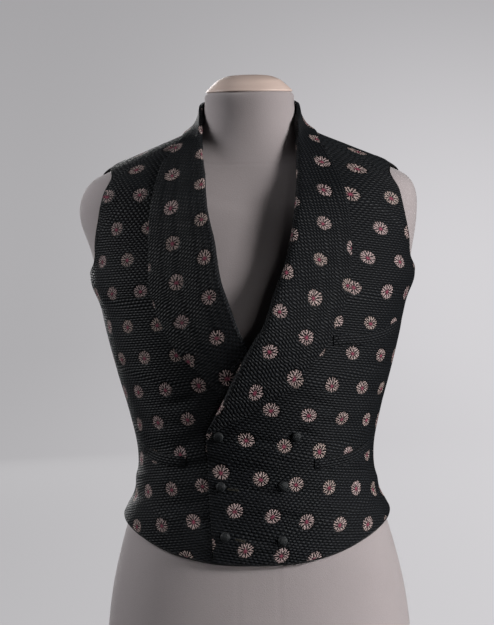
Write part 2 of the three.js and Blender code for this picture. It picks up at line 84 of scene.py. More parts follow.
# Sections of the dress form from its base up
# Columns: zSide, zFront, zBack, half width, ySide, yFront, yBack, squareness
SECTIONS = np.array([
    [0, 0, 0, 188, 4, -112, 118, 2.3], [60, 60, 60, 190.5, 4, -112, 120, 2.3],
    [130, 130, 130, 182.5, 4, -108, 114, 2.3], [200, 200, 200, 165.5, 4, -104, 103, 2.3],
    [250, 250, 250, 148.5, 3, -101, 91, 2.3], [300, 300, 300, 144, 2, -99, 83, 2.3],
    [350, 350, 350, 153.5, 2, -101, 86, 2.3], [400, 400, 400, 167.5, 2, -104, 94, 2.3],
    [450, 450, 452, 180, 3, -106, 102, 2.3], [500, 495, 505, 190, 4, -105, 109, 2.3],
    [545, 527, 545, 199, 5, -101, 113, 2.3], [587, 553, 580, 206, 6, -96, 112, 2.3],
    [618, 576, 605, 206, 7, -91, 107, 2.35], [638, 594, 621, 196, 8, -86, 101, 2.4],
    [652, 611, 638, 171, 8, -79, 93, 2.4], [673, 632, 658, 122, 7, -71, 82, 2.4],
    [694, 657, 682, 76, 5, -63, 70, 2.2], [711, 682, 703, 60, 3, -57, 62, 2.1],
    [728, 708, 723, 56, 2, -54, 58, 2.1], [741, 738, 740, 55.5, 1, -54, 57, 2.1],
    [746, 746, 746, 52, 1, -51, 54, 2.1],
])
TOP_ROW = len(SECTIONS) - 1

# Where the cloth stands away from the form, alike on both sides
# Columns: angle, height, spread of angle, spread of height, amount
EASE = [
    [0, 478, 46, 100, 21], [30, 585, 24, 62, 11], [58, 676, 24, 34, 5], [92, 514, 30, 20, 6],
    [88, 222, 32, 24, 5], [0, 190, 70, 50, 2], [180, 320, 60, 80, 5], [180, 225, 60, 40, 3],
    [122, 648, 34, 42, 5.4],
]

# The form's own swell at the wearer's right shoulder
# Angle, height, spread of angle, spread of height, amount
RIGHT_SHOULDER = (-90.5, 598, 10.2, 33, 8)

# The largest drag folds
# Columns: angle, height, spread of angle, spread of height, drop for each degree, amount
FOLDS = [
    [4, 300, 30, 13, -0.1, 3], [10, 238, 34, 11, -0.15, 2.6], [2, 189, 28, 10, -0.1, 2],
    [36, 392, 20, 12, 0.35, 2.4], [50, 350, 18, 11, 0.2, 2.2], [-48, 352, 18, 12, -0.3, 2.2],
    [-58, 268, 16, 10, 0.1, 1.8], [82, 262, 12, 9, 0, 2], [-84, 268, 12, 9, 0, 1.8],
    [150, 300, 26, 12, 0.1, 2.4], [-152, 286, 24, 11, 0.1, 2.2], [172, 262, 26, 10, 0, 1.8],
]

# The finer creases, each a soft line from one place to another; a negative amount is a trough
# Columns: angle and z of one end, angle and z of the other, half width, amount
CREASES = [
    [-16, 318, 22, 312, 5, -1.96], [-20, 331, 4, 336, 4, 1.52], [18, 322, 34, 334, 5, -1.74],
    [-14, 258, 14, 251, 5, -1.96], [16, 268, 30, 274, 4, 1.3], [20, 254, 44, 250, 5, -1.96],
    [-12, 272, 8, 278, 4, 1.3], [-14, 210, 16, 214, 5, 1.09], [-10, 198, 12, 190, 5, -1.74],
    [18, 205, 40, 212, 5, -1.52], [26, 372, 48, 352, 6, -1.96], [30, 344, 60, 330, 6, -1.52],
    [44, 300, 70, 284, 5, 1.52], [52, 276, 76, 270, 5, -1.96], [64, 250, 88, 244, 5, -1.2],
    [58, 408, 84, 398, 7, -1.52], [62, 452, 88, 462, 8, -1.2], [-24, 300, -50, 290, 6, -1.74],
    [-26, 276, -46, 268, 5, 1.3], [-30, 248, -58, 244, 6, -1.74], [-34, 378, -60, 362, 6, -1.74],
    [-36, 336, -66, 330, 7, 1.52], [-56, 310, -84, 300, 6, -1.74], [-62, 282, -90, 274, 5, 1.05],
    [-70, 250, -92, 246, 5, -1.35], [-60, 420, -86, 410, 7, -1.05], [-64, 470, -88, 478, 8, -1.05],
    [-66, 640, -80, 590, 6, 0.9], [66, 636, 80, 588, 6, 0.9], [112, 300, 150, 322, 6, -1.5],
    [116, 274, 160, 288, 6, -1.65], [118, 250, 152, 256, 5, 1.2], [-112, 296, -148, 310, 6, -1.5],
    [-114, 268, -158, 276, 6, -1.65], [-120, 246, -150, 252, 5, 1.2], [128, 480, 118, 560, 8, -1.05],
    [-130, 470, -119, 556, 8, -1.05], [158, 640, 128, 612, 9, -1.05], [-160, 636, -130, 606, 9, -1.05],
    [170, 380, 170, 250, 7, -0.9], [-166, 400, -168, 262, 7, -0.9], [-12, 305, 10, 300, 3.5, -1.2],
    [8, 296, 26, 290, 3.5, -1.1], [24, 330, 40, 322, 4, -1.3], [-16, 240, 2, 244, 3.5, -1.1],
    [6, 228, 30, 222, 4, -1.2], [34, 240, 52, 234, 4, 1], [-8, 182, 18, 178, 4, -1.2],
    [22, 190, 44, 196, 4, -1.1], [46, 316, 62, 308, 4, -1.2], [30, 400, 50, 388, 5, -1.2],
    [62, 372, 84, 362, 5, -1.1], [-40, 318, -54, 312, 4, -1.1], [-44, 228, -64, 226, 4, 1],
    [-66, 346, -84, 338, 5, -1.2], [-28, 226, -44, 222, 4, -1.1],
]

# Sewing lines. Columns: x, z
CLOSING_EDGE_OVER = [[-52.5, 171], [-55, 211], [-57.5, 270], [-58.5, 329]]
CLOSING_EDGE_UNDER = [[53, 172], [55, 211], [57, 270], [58, 328]]
# Columns: angle, z
HEM_OF_FRONT = [
    [0, 168.5], [20, 169.5], [34, 174], [47, 182], [60, 195.5], [75, 213.5], [88, 225], [101, 230],
]
HEM_OF_BACK = [[101, 230], [125, 228], [152, 223], [180, 221]]
SIDE_SEAM = [[101, 230], [101, 322], [101, 414], [101, 506]]
FRONT_ARMHOLE = [
    [101, 506], [90, 520], [80.5, 537], [77.5, 562], [74.4, 592], [72.8, 620], [74.6, 645],
    [SHOULDER_SEAM_ANGLE, SHOULDER_TIP_Z],
]
BACK_ARMHOLE = [
    [101, 506], [104, 522], [107.5, 550], [109.5, 586], [106.5, 624],
    [SHOULDER_SEAM_ANGLE, SHOULDER_TIP_Z],
]
BACK_TOP_FADE = 2.5  # how late the back's rows take up the slope of its shoulder
BACK_NECKLINE = [[180, 708], [150, 708.5], [120, 710], [SHOULDER_SEAM_ANGLE, NECK_POINT_Z]]
STAND_TOP = [[180, 738], [150, 736.5], [120, 732.5], [SHOULDER_SEAM_ANGLE, ROLL_AT_SHOULDER_Z]]
# Columns: angle and z of the roll line, angle and z of the outer edge
COLLAR_AT_NECK = [
    [180, 742, 180, 694], [152, 741, 152, 694], [128, 738.5, 130, 696], [108, 735, 111, 700],
    [92, 730.5, 96, 703], [76, 721, 85, 697],
]
# Columns: x and z of the roll line, x and z of the outer edge
LAPEL_OVER = [
    [54.5, 707, 82.5, 684], [55.3, 692, 92, 668], [55.8, 677, 100, 655], [55.4, 653, 107, 641],
    [54.9, 629, 112.5, 625], [51.9, 601, 117, 596], [46, 566, 119, 560], [37, 532, 117.5, 524],
    [24, 500, 113, 496], [12, 465, 98, 460], [-1, 444, 84.5, 436], [-13, 423, 68, 417],
    [-26.4, 397, 41.3, 385.5], [-38, 372, 14, 369.5], [-49, 350, -22, 348], [-57.7, 333, -54, 332],
]
LAPEL_UNDER = [
    [-57, 707, -84, 686], [-59, 690, -97, 670], [-58.3, 675, -106, 660], [-57, 655, -113, 642],
    [-55.4, 636, -118, 625], [-51.3, 592, -123, 592], [-45.4, 565.6, -124.5, 560],
    [-39.2, 521, -124.3, 515], [-30.4, 492, -119, 487], [-18.8, 457.6, -104, 451], [-8, 436, -90, 428],
    [4, 415, -70, 408], [18, 393, -46, 383], [34, 366, -12, 361], [47, 345, 24, 342], [56.5, 332, 53, 331],
]
# Columns: place of the outer face, place of the inner face, share of the roll's height
COLLAR_SECTION = [
    [0, 0.03, 0], [0.03, 0.045, 0.6], [0.08, 0.09, 1], [0.18, 0.18, 0.9], [0.36, 0.36, 0.5],
    [0.58, 0.58, 0.22], [0.8, 0.8, 0.06], [1, 1, 0],
]
# The middle line of each pocket welt. Columns: x, z
WELT_BREAST = [[95, 441], [110, 442], [132, 440.5], [152, 444], [167, 449], [178, 455]]
WELT_WAIST_OVER = [[70, 290.5], [84, 290], [102, 292], [119, 296], [131, 302], [139.5, 308]]
WELT_WAIST_UNDER = [[-87, 295], [-102, 295.5], [-118, 298], [-130, 302.5], [-139, 308]]
# The centres of the buttons. Columns: x, z
BUTTONS_EDGE = [[-44, 327], [-43, 264], [-39, 203]]
BUTTONS_FAR = [[48, 325], [32, 264], [30, 197]]
# Columns: share of the neck's top section, share of the cap's height
CAP_PROFILE = [
    [1.02, 0], [1.035, 0.07], [0.98, 0.21], [0.89, 0.42], [0.77, 0.67], [0.66, 0.81], [0.5, 0.94],
    [0.26, 1], [0, 1.005],
]

# The darts and seams of the fronts, sunk a little. Columns: x, z
SEAMS_OVER = [
    [[124, 330], [125, 350], [124, 376]],
    [[127, 258], [140, 225], [147, 196]],
    [[143, 452], [142.5, 436]],
]
SEAMS_UNDER = [
    [[-107, 312], [-109, 335], [-113, 366]],
    [[-106, 284], [-116, 240], [-126, 204]],
]
SEAM_DEPTH = 0.55
SEAM_HALF_WIDTH = 1.1

# The woven cloth: star spots in rows, every second row shifted by half a pitch
SPOT_PITCH = 44.0
SPOT_ROW_PITCH = 43.0
SPOT_RADIUS = 9.1
SPOT_CENTRE_DROP = 1.0
STAND_CUT_AT = (0, 10)
BEND_COST = 0.1  # the more it is, the less a panel's rows of spots bend
RAYS = 9
WEAVE_PITCH = 3.4
DASH_PITCH = 6.0
# Spots as read off the photograph, which set how each panel lies on the woven cloth
# Columns: x and y in the photograph's frame of 494 by 625 pixels, column and row of the repeat
SPOTS_SEEN = {
    "front_over": [
        [279, 444, 0, 0], [314, 449, 1, 0], [308, 414, 0, 1], [342, 415.5, 1, 1], [332, 385, 0, 2],
        [360, 388, 1, 2], [354.5, 355.5, 0, 3], [381, 356.5, 1, 3], [344.5, 322.5, -1, 4],
        [373, 323.5, 0, 4], [358.5, 288.5, -1, 5], [387, 292, 0, 5], [370.5, 258, -1, 6],
        [380.5, 226.5, -1, 7], [351, 195.5, -2, 8], [384, 194.5, -1, 8], [356, 168.5, -2, 9],
        [221.5, 471.5, -1, -1], [258.5, 478.5, 0, -1], [295, 483, 1, -1], [329, 485.5, 2, -1],
        [354.5, 487.5, 3, -1], [237, 511.5, 0, -2], [272, 518, 1, -2], [309.5, 522.5, 2, -2],
        [342.5, 524.5, 3, -2], [247.5, 551.5, 1, -3], [283.5, 556.5, 2, -3],
    ],
    "front_under": [
        [127.5, 327.5, 0, 0], [153.5, 324.5, 1, 0], [139.5, 291, 0, 1], [113.5, 294.5, -1, 1],
        [126, 258, -1, 2], [101.5, 261.5, -2, 2], [115.5, 227.5, -2, 3], [141, 194.5, -2, 4],
        [110, 195.5, -3, 4], [136.5, 170.5, -3, 5], [142.5, 360.5, 1, -1], [175, 356.5, 2, -1],
        [142, 393, 1, -2], [164.5, 389.5, 2, -2], [200, 384, 3, -2], [189, 418, 3, -3], [182, 449.5, 3, -4],
        [171.5, 487.5, 3, -5], [202.5, 487, 4, -5], [160.5, 524.5, 3, -6], [191.5, 524, 4, -6],
    ],
    "collar_over": [
        [321, 258, 0, 0], [288.5, 271, 0, -1], [315.5, 297.5, 1, -1], [322.5, 224, -1, 1],
        [322.5, 191, -2, 2], [322.5, 161, -3, 3], [279, 311.5, 1, -2], [305.5, 337.5, 2, -2],
        [269, 352.5, 2, -3], [256.5, 392, 3, -4],
    ],
    "collar_under": [
        [172.5, 243.5, 0, 0], [171.5, 208, 0, 1], [203.5, 257, 1, -1], [201.5, 219, 1, 0],
        [200, 183.5, 1, 1], [171, 175.5, 0, 2], [175, 281.5, 0, -1], [180.5, 322, 0, -2],
        [208, 297.5, 1, -2], [216.5, 339, 1, -3], [227.5, 377.5, 1, -4],
    ],
}


def smoothstep(low, high, x):
    t = np.clip((x - low) / (high - low), 0, 1)
    return t * t * (3 - 2 * t)


def curve_through(rows):
    """A smooth curve through rows of numbers, for shares from 0 to 1 of the way through them."""
    rows = np.asarray(rows, float)
    last = len(rows) - 1
    slopes = np.empty_like(rows)
    slopes[1:-1] = (rows[2:] - rows[:-2]) / 2
    slopes[0] = rows[1] - rows[0]
    slopes[-1] = rows[-1] - rows[-2]

    def at(share):
        t = np.clip(np.asarray(share, float), 0, 1) * last
        i = np.minimum(t.astype(int), last - 1)
        s = (t - i).reshape(t.shape + (1,) * (rows.ndim - 1))
        return (
            rows[i] * (2 * s**3 - 3 * s**2 + 1)
            + slopes[i] * (s**3 - 2 * s**2 + s)
            + rows[i + 1] * (3 * s**2 - 2 * s**3)
            + slopes[i + 1] * (s**3 - s**2)
        )

    return at


section_at = curve_through(SECTIONS)


def form_point(angle, row):
    """A point of the dress form at an angle from the front, positive to +X, and a row of SECTIONS."""
    values = section_at(np.asarray(row) / TOP_ROW)
    z_side, z_front, z_back, half, y_side, y_front, y_back, square = np.moveaxis(values, -1, 0)
    across = np.sin(np.radians(angle))
    along = np.cos(np.radians(angle))
    is_front = along > 0
    depth = np.where(is_front, y_side - y_front, y_back - y_side)
    total = np.abs(across / half) ** square + np.abs(along / depth) ** square
    reach = total ** (-1 / square)
    z = z_side + (np.where(is_front, z_front, z_back) - z_side) * along**2
    return np.stack([reach * across, y_side - reach * along, z], -1)


def normal_of(point, angle, row):
    low = np.maximum(row - 0.05, 0)
    high = np.minimum(row + 0.05, TOP_ROW)
    around = point(angle + 0.5, row) - point(angle - 0.5, row)
    up = point(angle, high) - point(angle, low)
    normal = np.cross(around, up)
    return normal / np.linalg.norm(normal, axis=-1, keepdims=True)


def turned(start, to):
    return (to - start + 540) % 360 - 180


def ease_at(angle, z):
    total = np.zeros(np.broadcast(angle, z).shape)
    for middle, height, angle_spread, height_spread, amount in EASE:
        away = np.minimum(np.abs(turned(middle, angle)), np.abs(turned(-middle, angle)))
        total += amount * np.exp(-((away / angle_spread) ** 2) - ((z - height) / height_spread) ** 2)
    for middle, height, angle_spread, height_spread, drop, amount in FOLDS:
        away = turned(middle, angle)
        level = (z - height - drop * away) / height_spread
        total += amount * np.exp(-((away / angle_spread) ** 2) - level**2)
    return total


MM_PER_DEGREE = 2.6


def creases_at(angle, z):
    """The finer creases. A crease fades out towards its ends and is soft across."""
    total = np.zeros(np.broadcast(angle, z).shape)
    for angle_a, z_a, angle_b, z_b, width, amount in CREASES:
        along = np.array([turned(angle_a, angle_b) * MM_PER_DEGREE, z_b - z_a])
        length = np.linalg.norm(along)
        along /= length
        x = turned(angle_a, angle) * MM_PER_DEGREE
        y = z - z_a
        share = (x * along[0] + y * along[1]) / length
        off = y * along[0] - x * along[1]
        ends = np.exp(-(np.abs(2 * share - 1) ** 3) * 1.6)
        bow = 0.05 * length * (1 - (2 * share - 1) ** 2)
        total += amount * ends * np.exp(-(((off - bow) / width) ** 2))
    return total


def body_point(angle, row):
    """The inner surface of the innermost cloth, without its finer creases."""
    point = form_point(angle, row)
    out = FORM_GAP + ease_at(angle, point[..., 2])
    return point + normal_of(form_point, angle, row) * out[..., None]


def cloth_point(at, lift):
    angle, row = at[..., 0], at[..., 1]
    point = body_point(angle, row)
    lift = np.asarray(lift) + creases_at(angle, point[..., 2])
    return point + normal_of(body_point, angle, row) * lift[..., None]


def bisect(low, high, is_below):
    for _ in range(24):
        middle = (low + high) / 2
        below = is_below(middle)
        low = np.where(below, middle, low)
        high = np.where(below, high, middle)
    return (low + high) / 2


def at_angle(angle, z):
    angle, z = np.broadcast_arrays(np.asarray(angle, float), np.asarray(z, float))
    top = np.full(z.shape, float(TOP_ROW))
    row = bisect(np.zeros(z.shape), top, lambda r: body_point(angle, r)[..., 2] < z)
    return np.stack([angle, row], -1)


def at_angles(rows):
    angle, z = np.transpose(rows)
    return at_angle(angle, z)


NET_GRID = np.meshgrid(np.linspace(-88, 88, 60), np.linspace(2, TOP_ROW, 80))
NET_ANGLE, NET_ROW = (values.ravel() for values in NET_GRID)
NET = body_point(NET_ANGLE, NET_ROW)


def at_front(x, z):
    """The place on the front of the body that has an x and a z, found from the nearest of a net of places."""
    x, z = np.broadcast_arrays(np.asarray(x, float), np.asarray(z, float))
    goal = np.stack([x.ravel(), z.ravel()], -1)
    nearest = ((NET[None, :, ::2] - goal[:, None]) ** 2).sum(-1).argmin(1)
    angle, row = NET_ANGLE[nearest], NET_ROW[nearest]
    for _ in range(14):
        here = body_point(angle, row)[:, ::2]
        around = (body_point(angle + 0.1, row)[:, ::2] - here) / 0.1
        up = (here - body_point(angle, row - 0.01)[:, ::2]) / 0.01
        miss = goal - here
        area = np.cross(around, up)
        angle = angle + np.clip(np.cross(miss, up) / area, -4, 4) * 0.9
        row = np.clip(row + np.clip(np.cross(around, miss) / area, -0.5, 0.5) * 0.9, 0, TOP_ROW)
    return np.stack([angle, row], -1).reshape(x.shape + (2,))


def beside(at, distance):
    point = body_point(at[..., 0], at[..., 1])
    turn = np.degrees(distance / np.hypot(point[..., 0], point[..., 1]))
    return np.stack([at[..., 0] + turn, at[..., 1]], -1)


def flip(at):
    return at * np.array([-1.0, 1.0])


def joined(lower, upper, level):
    def at(t):
        t = np.asarray(t, float)
        low = lower(np.clip(t / level, 0, 1))
        high = upper(np.clip((t - level) / (1 - level), 0, 1))
        return np.where((t < level)[..., None], low, high)

    return at


def straight(start, end):
    return lambda share: start + (end - start) * np.asarray(share, float)[..., None]


def patch(bottom, top, inner, outer, fade=1):
    """A patch between four sewing lines, for shares u across and t up."""

    def at(u, t):
        u1, t1 = u[..., None], t[..., None]
        rise = t1**fade
        upright = (1 - rise) * bottom(u) + rise * top(u)
        level = (1 - u1) * inner(t) + u1 * outer(t)
        zero, one = np.array(0.0), np.array(1.0)
        low = (1 - u1) * inner(zero) + u1 * outer(zero)
        high = (1 - u1) * inner(one) + u1 * outer(one)
        return upright + level - (1 - rise) * low - rise * high

    return at


def grid(columns, rows):
    t, u = np.meshgrid(np.linspace(0, 1, rows + 1), np.linspace(0, 1, columns + 1), indexing="ij")
    return u, t


def front_patch(side, closing_edge, lapel):
    def on_left(at):
        return at if side > 0 else flip(at)

    edge = on_left(at_front(*np.transpose(closing_edge)))
    roll_x, roll_z, _, _ = np.transpose(lapel[:-1])
    roll_on_chest = on_left(at_front(roll_x + ROLL_INSET * side, roll_z))
    roll_at_neck = at_angle(COLLAR_AT_NECK[5][0] + 2, COLLAR_AT_NECK[5][1] - ROLL_INSET)
    neck = beside(at_angle(SHOULDER_SEAM_ANGLE, ROLL_AT_SHOULDER_Z), -SEAM_GAP / 2)
    tip = beside(at_angle(SHOULDER_SEAM_ANGLE, SHOULDER_TIP_Z), -SEAM_GAP / 2)
    side_seam = beside(at_angles(SIDE_SEAM), -SEAM_GAP / 2)
    hem = at_angles(HEM_OF_FRONT[:-1])
    armhole = at_angles(FRONT_ARMHOLE[1:-1])
    roll = curve_through([edge[3], *roll_on_chest[::-1], roll_at_neck, neck])
    outer = joined(curve_through(side_seam), curve_through([side_seam[3], *armhole, tip]), ARMHOLE_LEVEL)
    left = patch(
        curve_through([edge[0], *hem, side_seam[0]]),
        straight(neck, tip),
        joined(curve_through(edge), roll, LAPEL_LEVEL),
        outer,
    )
    return lambda u, t: on_left(left(u, t))


necklines = at_angles(BACK_NECKLINE)
necklines[0] = beside(necklines[0], -SEAM_GAP / 2)
necklines[3] = beside(necklines[3], SEAM_GAP / 2)
back_neckline = curve_through(necklines)


def back_patch(side):
    side_seam = beside(at_angles(SIDE_SEAM), SEAM_GAP / 2)
    tip = beside(at_angle(SHOULDER_SEAM_ANGLE, SHOULDER_TIP_Z), SEAM_GAP / 2)
    neck = back_neckline(np.array(1.0))
    neck_end = back_neckline(np.array(0.0))
    hem_end = beside(at_angle(*HEM_OF_BACK[3]), -SEAM_GAP / 2)
    hem = at_angles(HEM_OF_BACK[1:-1])
    armhole = at_angles(BACK_ARMHOLE[1:-1])
    rows = np.linspace(hem_end[1], neck_end[1], 5)
    centre = [beside(np.array([180.0, row]), -SEAM_GAP / 2) for row in rows]
    outer = joined(curve_through(side_seam), curve_through([side_seam[3], *armhole, tip]), ARMHOLE_LEVEL)
    left = patch(
        curve_through([hem_end, *hem[::-1], side_seam[0]]),
        joined(back_neckline, straight(neck, tip), NECKLINE_SHARE),
        curve_through(centre),
        outer,
        BACK_TOP_FADE,
    )
    return lambda u, t: left(u, t) if side > 0 else flip(left(u, t))


def stand_patch():
    top = curve_through(at_angles(STAND_TOP))

    def at(u, t):
        share = np.abs(2 * u - 1)
        low_at = back_neckline(share)
        high = top(share)[..., 1]
        low = low_at[..., 1] + (high - low_at[..., 1]) * STAND_SEAM_SHARE
        angle = np.where(u < 0.5, low_at[..., 0], 360 - low_at[..., 0])
        return np.stack([angle, low + (high - low) * t], -1)

    return at


def welt_places(line, columns, rows):
    u, t = grid(20, 4)
    x, z = np.moveaxis(curve_through(line)(u), -1, 0)
    return resample(at_front(x, z + (2 * t - 1) * WELT_HALF_HEIGHT), rows + 1, columns + 1)


def over_lift(at):
    """The left front laps over the right front and, higher up, over its lapel as well."""
    x, _, z = np.moveaxis(body_point(at[..., 0], at[..., 1]), -1, 0)
    on_front = (1 - smoothstep(60, 135, x)) * (1 - smoothstep(440, 570, z))
    on_lapel = (1 - smoothstep(60, 130, x)) * smoothstep(280, 322, z) * (1 - smoothstep(435, 550, z))
    return (WALL + LAYER_GAP) * on_front + (COLLAR_WALL + COLLAR_GAP + 0.2) * on_lapel


def no_lift(at):
    return np.zeros(at.shape[:-1])


def seam_groove(points, seams):
    """How deep a seam sinks at points, for seams given as lines of x and z."""
    depth = np.zeros(points.shape[:-1])
    for line in seams:
        fine = curve_through(line)(np.linspace(0, 1, 30))
        away = np.full(depth.shape, 1e9)
        for x, z in fine:
            away = np.minimum(away, np.hypot(points[..., 0] - x, points[..., 2] - z))
        depth = np.maximum(depth, SEAM_DEPTH * np.exp(-((away / SEAM_HALF_WIDTH) ** 2)))
    return depth


def lay_flat(points):
    """Lays a grid of points flat, as the cutter had it: each keeps its distance to its neighbours."""
    rows, columns = points.shape[:2]
    levels = [(9, 17, 900), (17, 33, 500), (33, 65, 300)]
    flat = None
    for count_u, count_t, rounds in levels:
        i = np.linspace(0, rows - 1, count_t).round().astype(int)
        j = np.linspace(0, columns - 1, count_u).round().astype(int)
        p = points[np.ix_(i, j)]
        if flat is None:
            step = np.linalg.norm(np.diff(p, axis=1), axis=-1)
            across = np.concatenate([np.zeros((count_t, 1)), np.cumsum(step, 1)], 1)
            rise = np.linalg.norm(np.diff(p, axis=0), axis=-1)
            up = np.concatenate([np.zeros((1, count_u)), np.cumsum(rise, 0)], 0)
            flat = np.stack([across, up], -1)
        else:
            flat = resample(flat, count_t, count_u)
        flat = relax(flat, p, rounds)
    return resample(flat, rows, columns)


def resample(values, rows, columns):
    t = np.linspace(0, values.shape[0] - 1, rows)
    u = np.linspace(0, values.shape[1] - 1, columns)
    i = np.minimum(t.astype(int), values.shape[0] - 2)
    j = np.minimum(u.astype(int), values.shape[1] - 2)
    ft = (t - i)[:, None, None]
    fu = (u - j)[None, :, None]
    low = values[np.ix_(i, j)] * (1 - fu) + values[np.ix_(i, j + 1)] * fu
    high = values[np.ix_(i + 1, j)] * (1 - fu) + values[np.ix_(i + 1, j + 1)] * fu
    return low * (1 - ft) + high * ft


RELAX_STEP = 1.6


def relax(flat, points, rounds):
    pairs = [
        (np.s_[:, 1:], np.s_[:, :-1]),
        (np.s_[1:, :], np.s_[:-1, :]),
        (np.s_[1:, 1:], np.s_[:-1, :-1]),
        (np.s_[1:, :-1], np.s_[:-1, 1:]),
    ]
    lengths = [np.linalg.norm(points[a] - points[b], axis=-1) for a, b in pairs]
    flat = flat.copy()
    for _ in range(rounds):
        move = np.zeros_like(flat)
        count = np.zeros(flat.shape[:2])
        for (a, b), length in zip(pairs, lengths):
            gap = flat[a] - flat[b]
            now = np.linalg.norm(gap, axis=-1)
            push = gap * ((length - now) / np.maximum(now, 1e-6) / 2)[..., None]
            move[a] += push
            move[b] -= push
            count[a] += 1
            count[b] += 1
        flat += move / count[..., None] * RELAX_STEP
    return flat


def grain(flat, origin, up_to):
    """Turns a flat panel so that one place of it is the origin and another lies straight above it."""
    way = flat[up_to] - flat[origin]
    turn = math.atan2(way[0], way[1])
    c, s = math.cos(turn), math.sin(turn)
    moved = flat - flat[origin]
    x = moved[..., 0] * c - moved[..., 1] * s
    y = moved[..., 0] * s + moved[..., 1] * c
    return np.stack([x, y], -1)


def seen_at(points):
    """Where the camera sees points of the garment, in pixels of the photograph's frame."""
    camera = np.array([CAMERA_ASIDE * MM, -CAMERA_DISTANCE, CAMERA_HEIGHT]) / MM
    right, ahead, above = np.moveaxis(points - camera, -1, 0)
    pitch, roll = math.radians(CAMERA_PITCH), math.radians(CAMERA_ROLL)
    depth = ahead * math.cos(pitch) - above * math.sin(pitch)
    x = FOCAL_PIXELS * right / depth
    y = -FOCAL_PIXELS * (ahead * math.sin(pitch) + above * math.cos(pitch)) / depth
    turned_x = math.cos(roll) * x + math.sin(roll) * y
    turned_y = math.cos(roll) * y - math.sin(roll) * x
    return np.stack([turned_x + FRAME_WIDTH / 2, turned_y + FRAME_PIXELS / 2], -1)


def cut_terms(flat):
    x, y = flat[..., 0] / 100, flat[..., 1] / 100
    return np.stack([np.ones(x.shape), x, y, x * x, x * y, y * y], -1)


def cut_from_cloth(flat, outer, name):
    """The place of each point of a flat panel on the woven cloth, eased so that its spots fall as seen."""
    seen_x, seen_y, column, row = np.transpose(SPOTS_SEEN[name])
    pixels = seen_at(outer)
    places = []
    for x, y in zip(seen_x, seen_y):
        away = np.linalg.norm(pixels - (x, y), axis=-1)
        near = np.exp(-((away - away.min()) ** 2))
        places.append((flat * near[..., None]).sum((0, 1)) / near.sum())
    spots = np.stack([(column + row / 2) * SPOT_PITCH, row * SPOT_ROW_PITCH], -1)
    terms = cut_terms(np.array(places))
    cost = BEND_COST * np.diag([0, 0, 0, 1, 1, 1])
    return cut_terms(flat) @ np.linalg.solve(terms.T @ terms + cost, terms.T @ spots)


def mesh_object(name, points, faces, material, uv=None):
    mesh = bpy.data.meshes.new(name)
    placed = (np.asarray(points) + np.array([*FORM_SHIFT, 0])) * MM
    mesh.from_pydata(placed.tolist(), [], [list(f) for f in faces])
    if uv is not None:
        layer = mesh.uv_layers.new(name="cloth")
        index = np.empty(len(mesh.loops), np.int32)
        mesh.loops.foreach_get("vertex_index", index)
        layer.data.foreach_set("uv", (np.asarray(uv)[index] * 0.01).astype(np.float32).ravel())
    mesh.polygons.foreach_set("use_smooth", np.full(len(mesh.polygons), True))
    mesh.update()
    piece = bpy.data.objects.new(name, mesh)
    bpy.context.scene.collection.objects.link(piece)
    mesh.materials.append(material)
    return piece


def grid_faces(rows, columns, start=0, closed=False):
    wide = columns if closed else columns - 1
    i, j = np.meshgrid(np.arange(rows - 1), np.arange(wide), indexing="ij")
    a = start + i * columns + j
    b = start + i * columns + (j + 1) % columns
    return np.stack([a, b, b + columns, a + columns], -1).reshape(-1, 4)


def faces_out(points, faces):
    a, b, c, d = (points[faces[:, k]] for k in range(4))
    volume = np.einsum("ij,ij->i", a, np.cross(b, c) + np.cross(c, d)).sum()
    return faces if volume > 0 else faces[:, ::-1]


def capped_faces(points, rows, segments, from_top=False):
    """The faces of a stack of rings that is shut at both ends, for rings from the base up or from the top."""
    faces = [list(f) for f in faces_out(points, grid_faces(rows, segments, closed=True))]
    first = list(range(segments))
    last = [(rows - 1) * segments + k for k in first]
    return faces + ([first, last[::-1]] if from_top else [first[::-1], last])


def border_of(rows, columns):
    top = [(0, j) for j in range(columns)]
    right = [(i, columns - 1) for i in range(1, rows)]
    bottom = [(rows - 1, j) for j in range(columns - 2, -1, -1)]
    left = [(i, 0) for i in range(rows - 2, 0, -1)]
    return np.array(top + right + bottom + left)


RIM_STEPS = 3


def shell(name, outer, inner, uv, material):
    """A wall of cloth between two grids of points, with soft round edges."""
    rows, columns = outer.shape[:2]
    count = rows * columns
    points = [outer.reshape(-1, 3), inner.reshape(-1, 3)]
    uvs = [uv.reshape(-1, 2), uv.reshape(-1, 2)]
    out_faces = grid_faces(rows, columns)
    faces = [out_faces, grid_faces(rows, columns, count)[:, ::-1]]
    border = border_of(rows, columns)
    i, j = border[:, 0], border[:, 1]
    next_i = np.clip(i, 1, rows - 2)
    next_j = np.clip(j, 1, columns - 2)
    top, low = outer[i, j], inner[i, j]
    away = (top - outer[next_i, next_j]) + (low - inner[next_i, next_j])
    thick = top - low
    half = np.linalg.norm(thick, axis=-1, keepdims=True) / 2
    up = thick / (2 * half)
    away -= up * np.sum(away * up, -1, keepdims=True)
    away /= np.maximum(np.linalg.norm(away, axis=-1, keepdims=True), 1e-9)
    length = len(border)
    previous = i * columns + j
    start = 2 * count
    for k in range(1, RIM_STEPS + 1):
        turn = math.pi * k / (RIM_STEPS + 1)
        ring = (top + low) / 2 + up * half * math.cos(turn) + away * half * math.sin(turn)
        points.append(ring)
        uvs.append(uv[i, j])
        current = start + np.arange(length)
        faces.append(np.stack([np.roll(previous, -1), previous, current, np.roll(current, -1)], -1))
        previous = current
        start += length
    current = count + i * columns + j
    faces.append(np.stack([np.roll(previous, -1), previous, current, np.roll(current, -1)], -1))
    points = np.concatenate(points)
    faces = faces_out(points, np.concatenate(faces))
    return mesh_object(name, points, faces, material, np.concatenate(uvs))


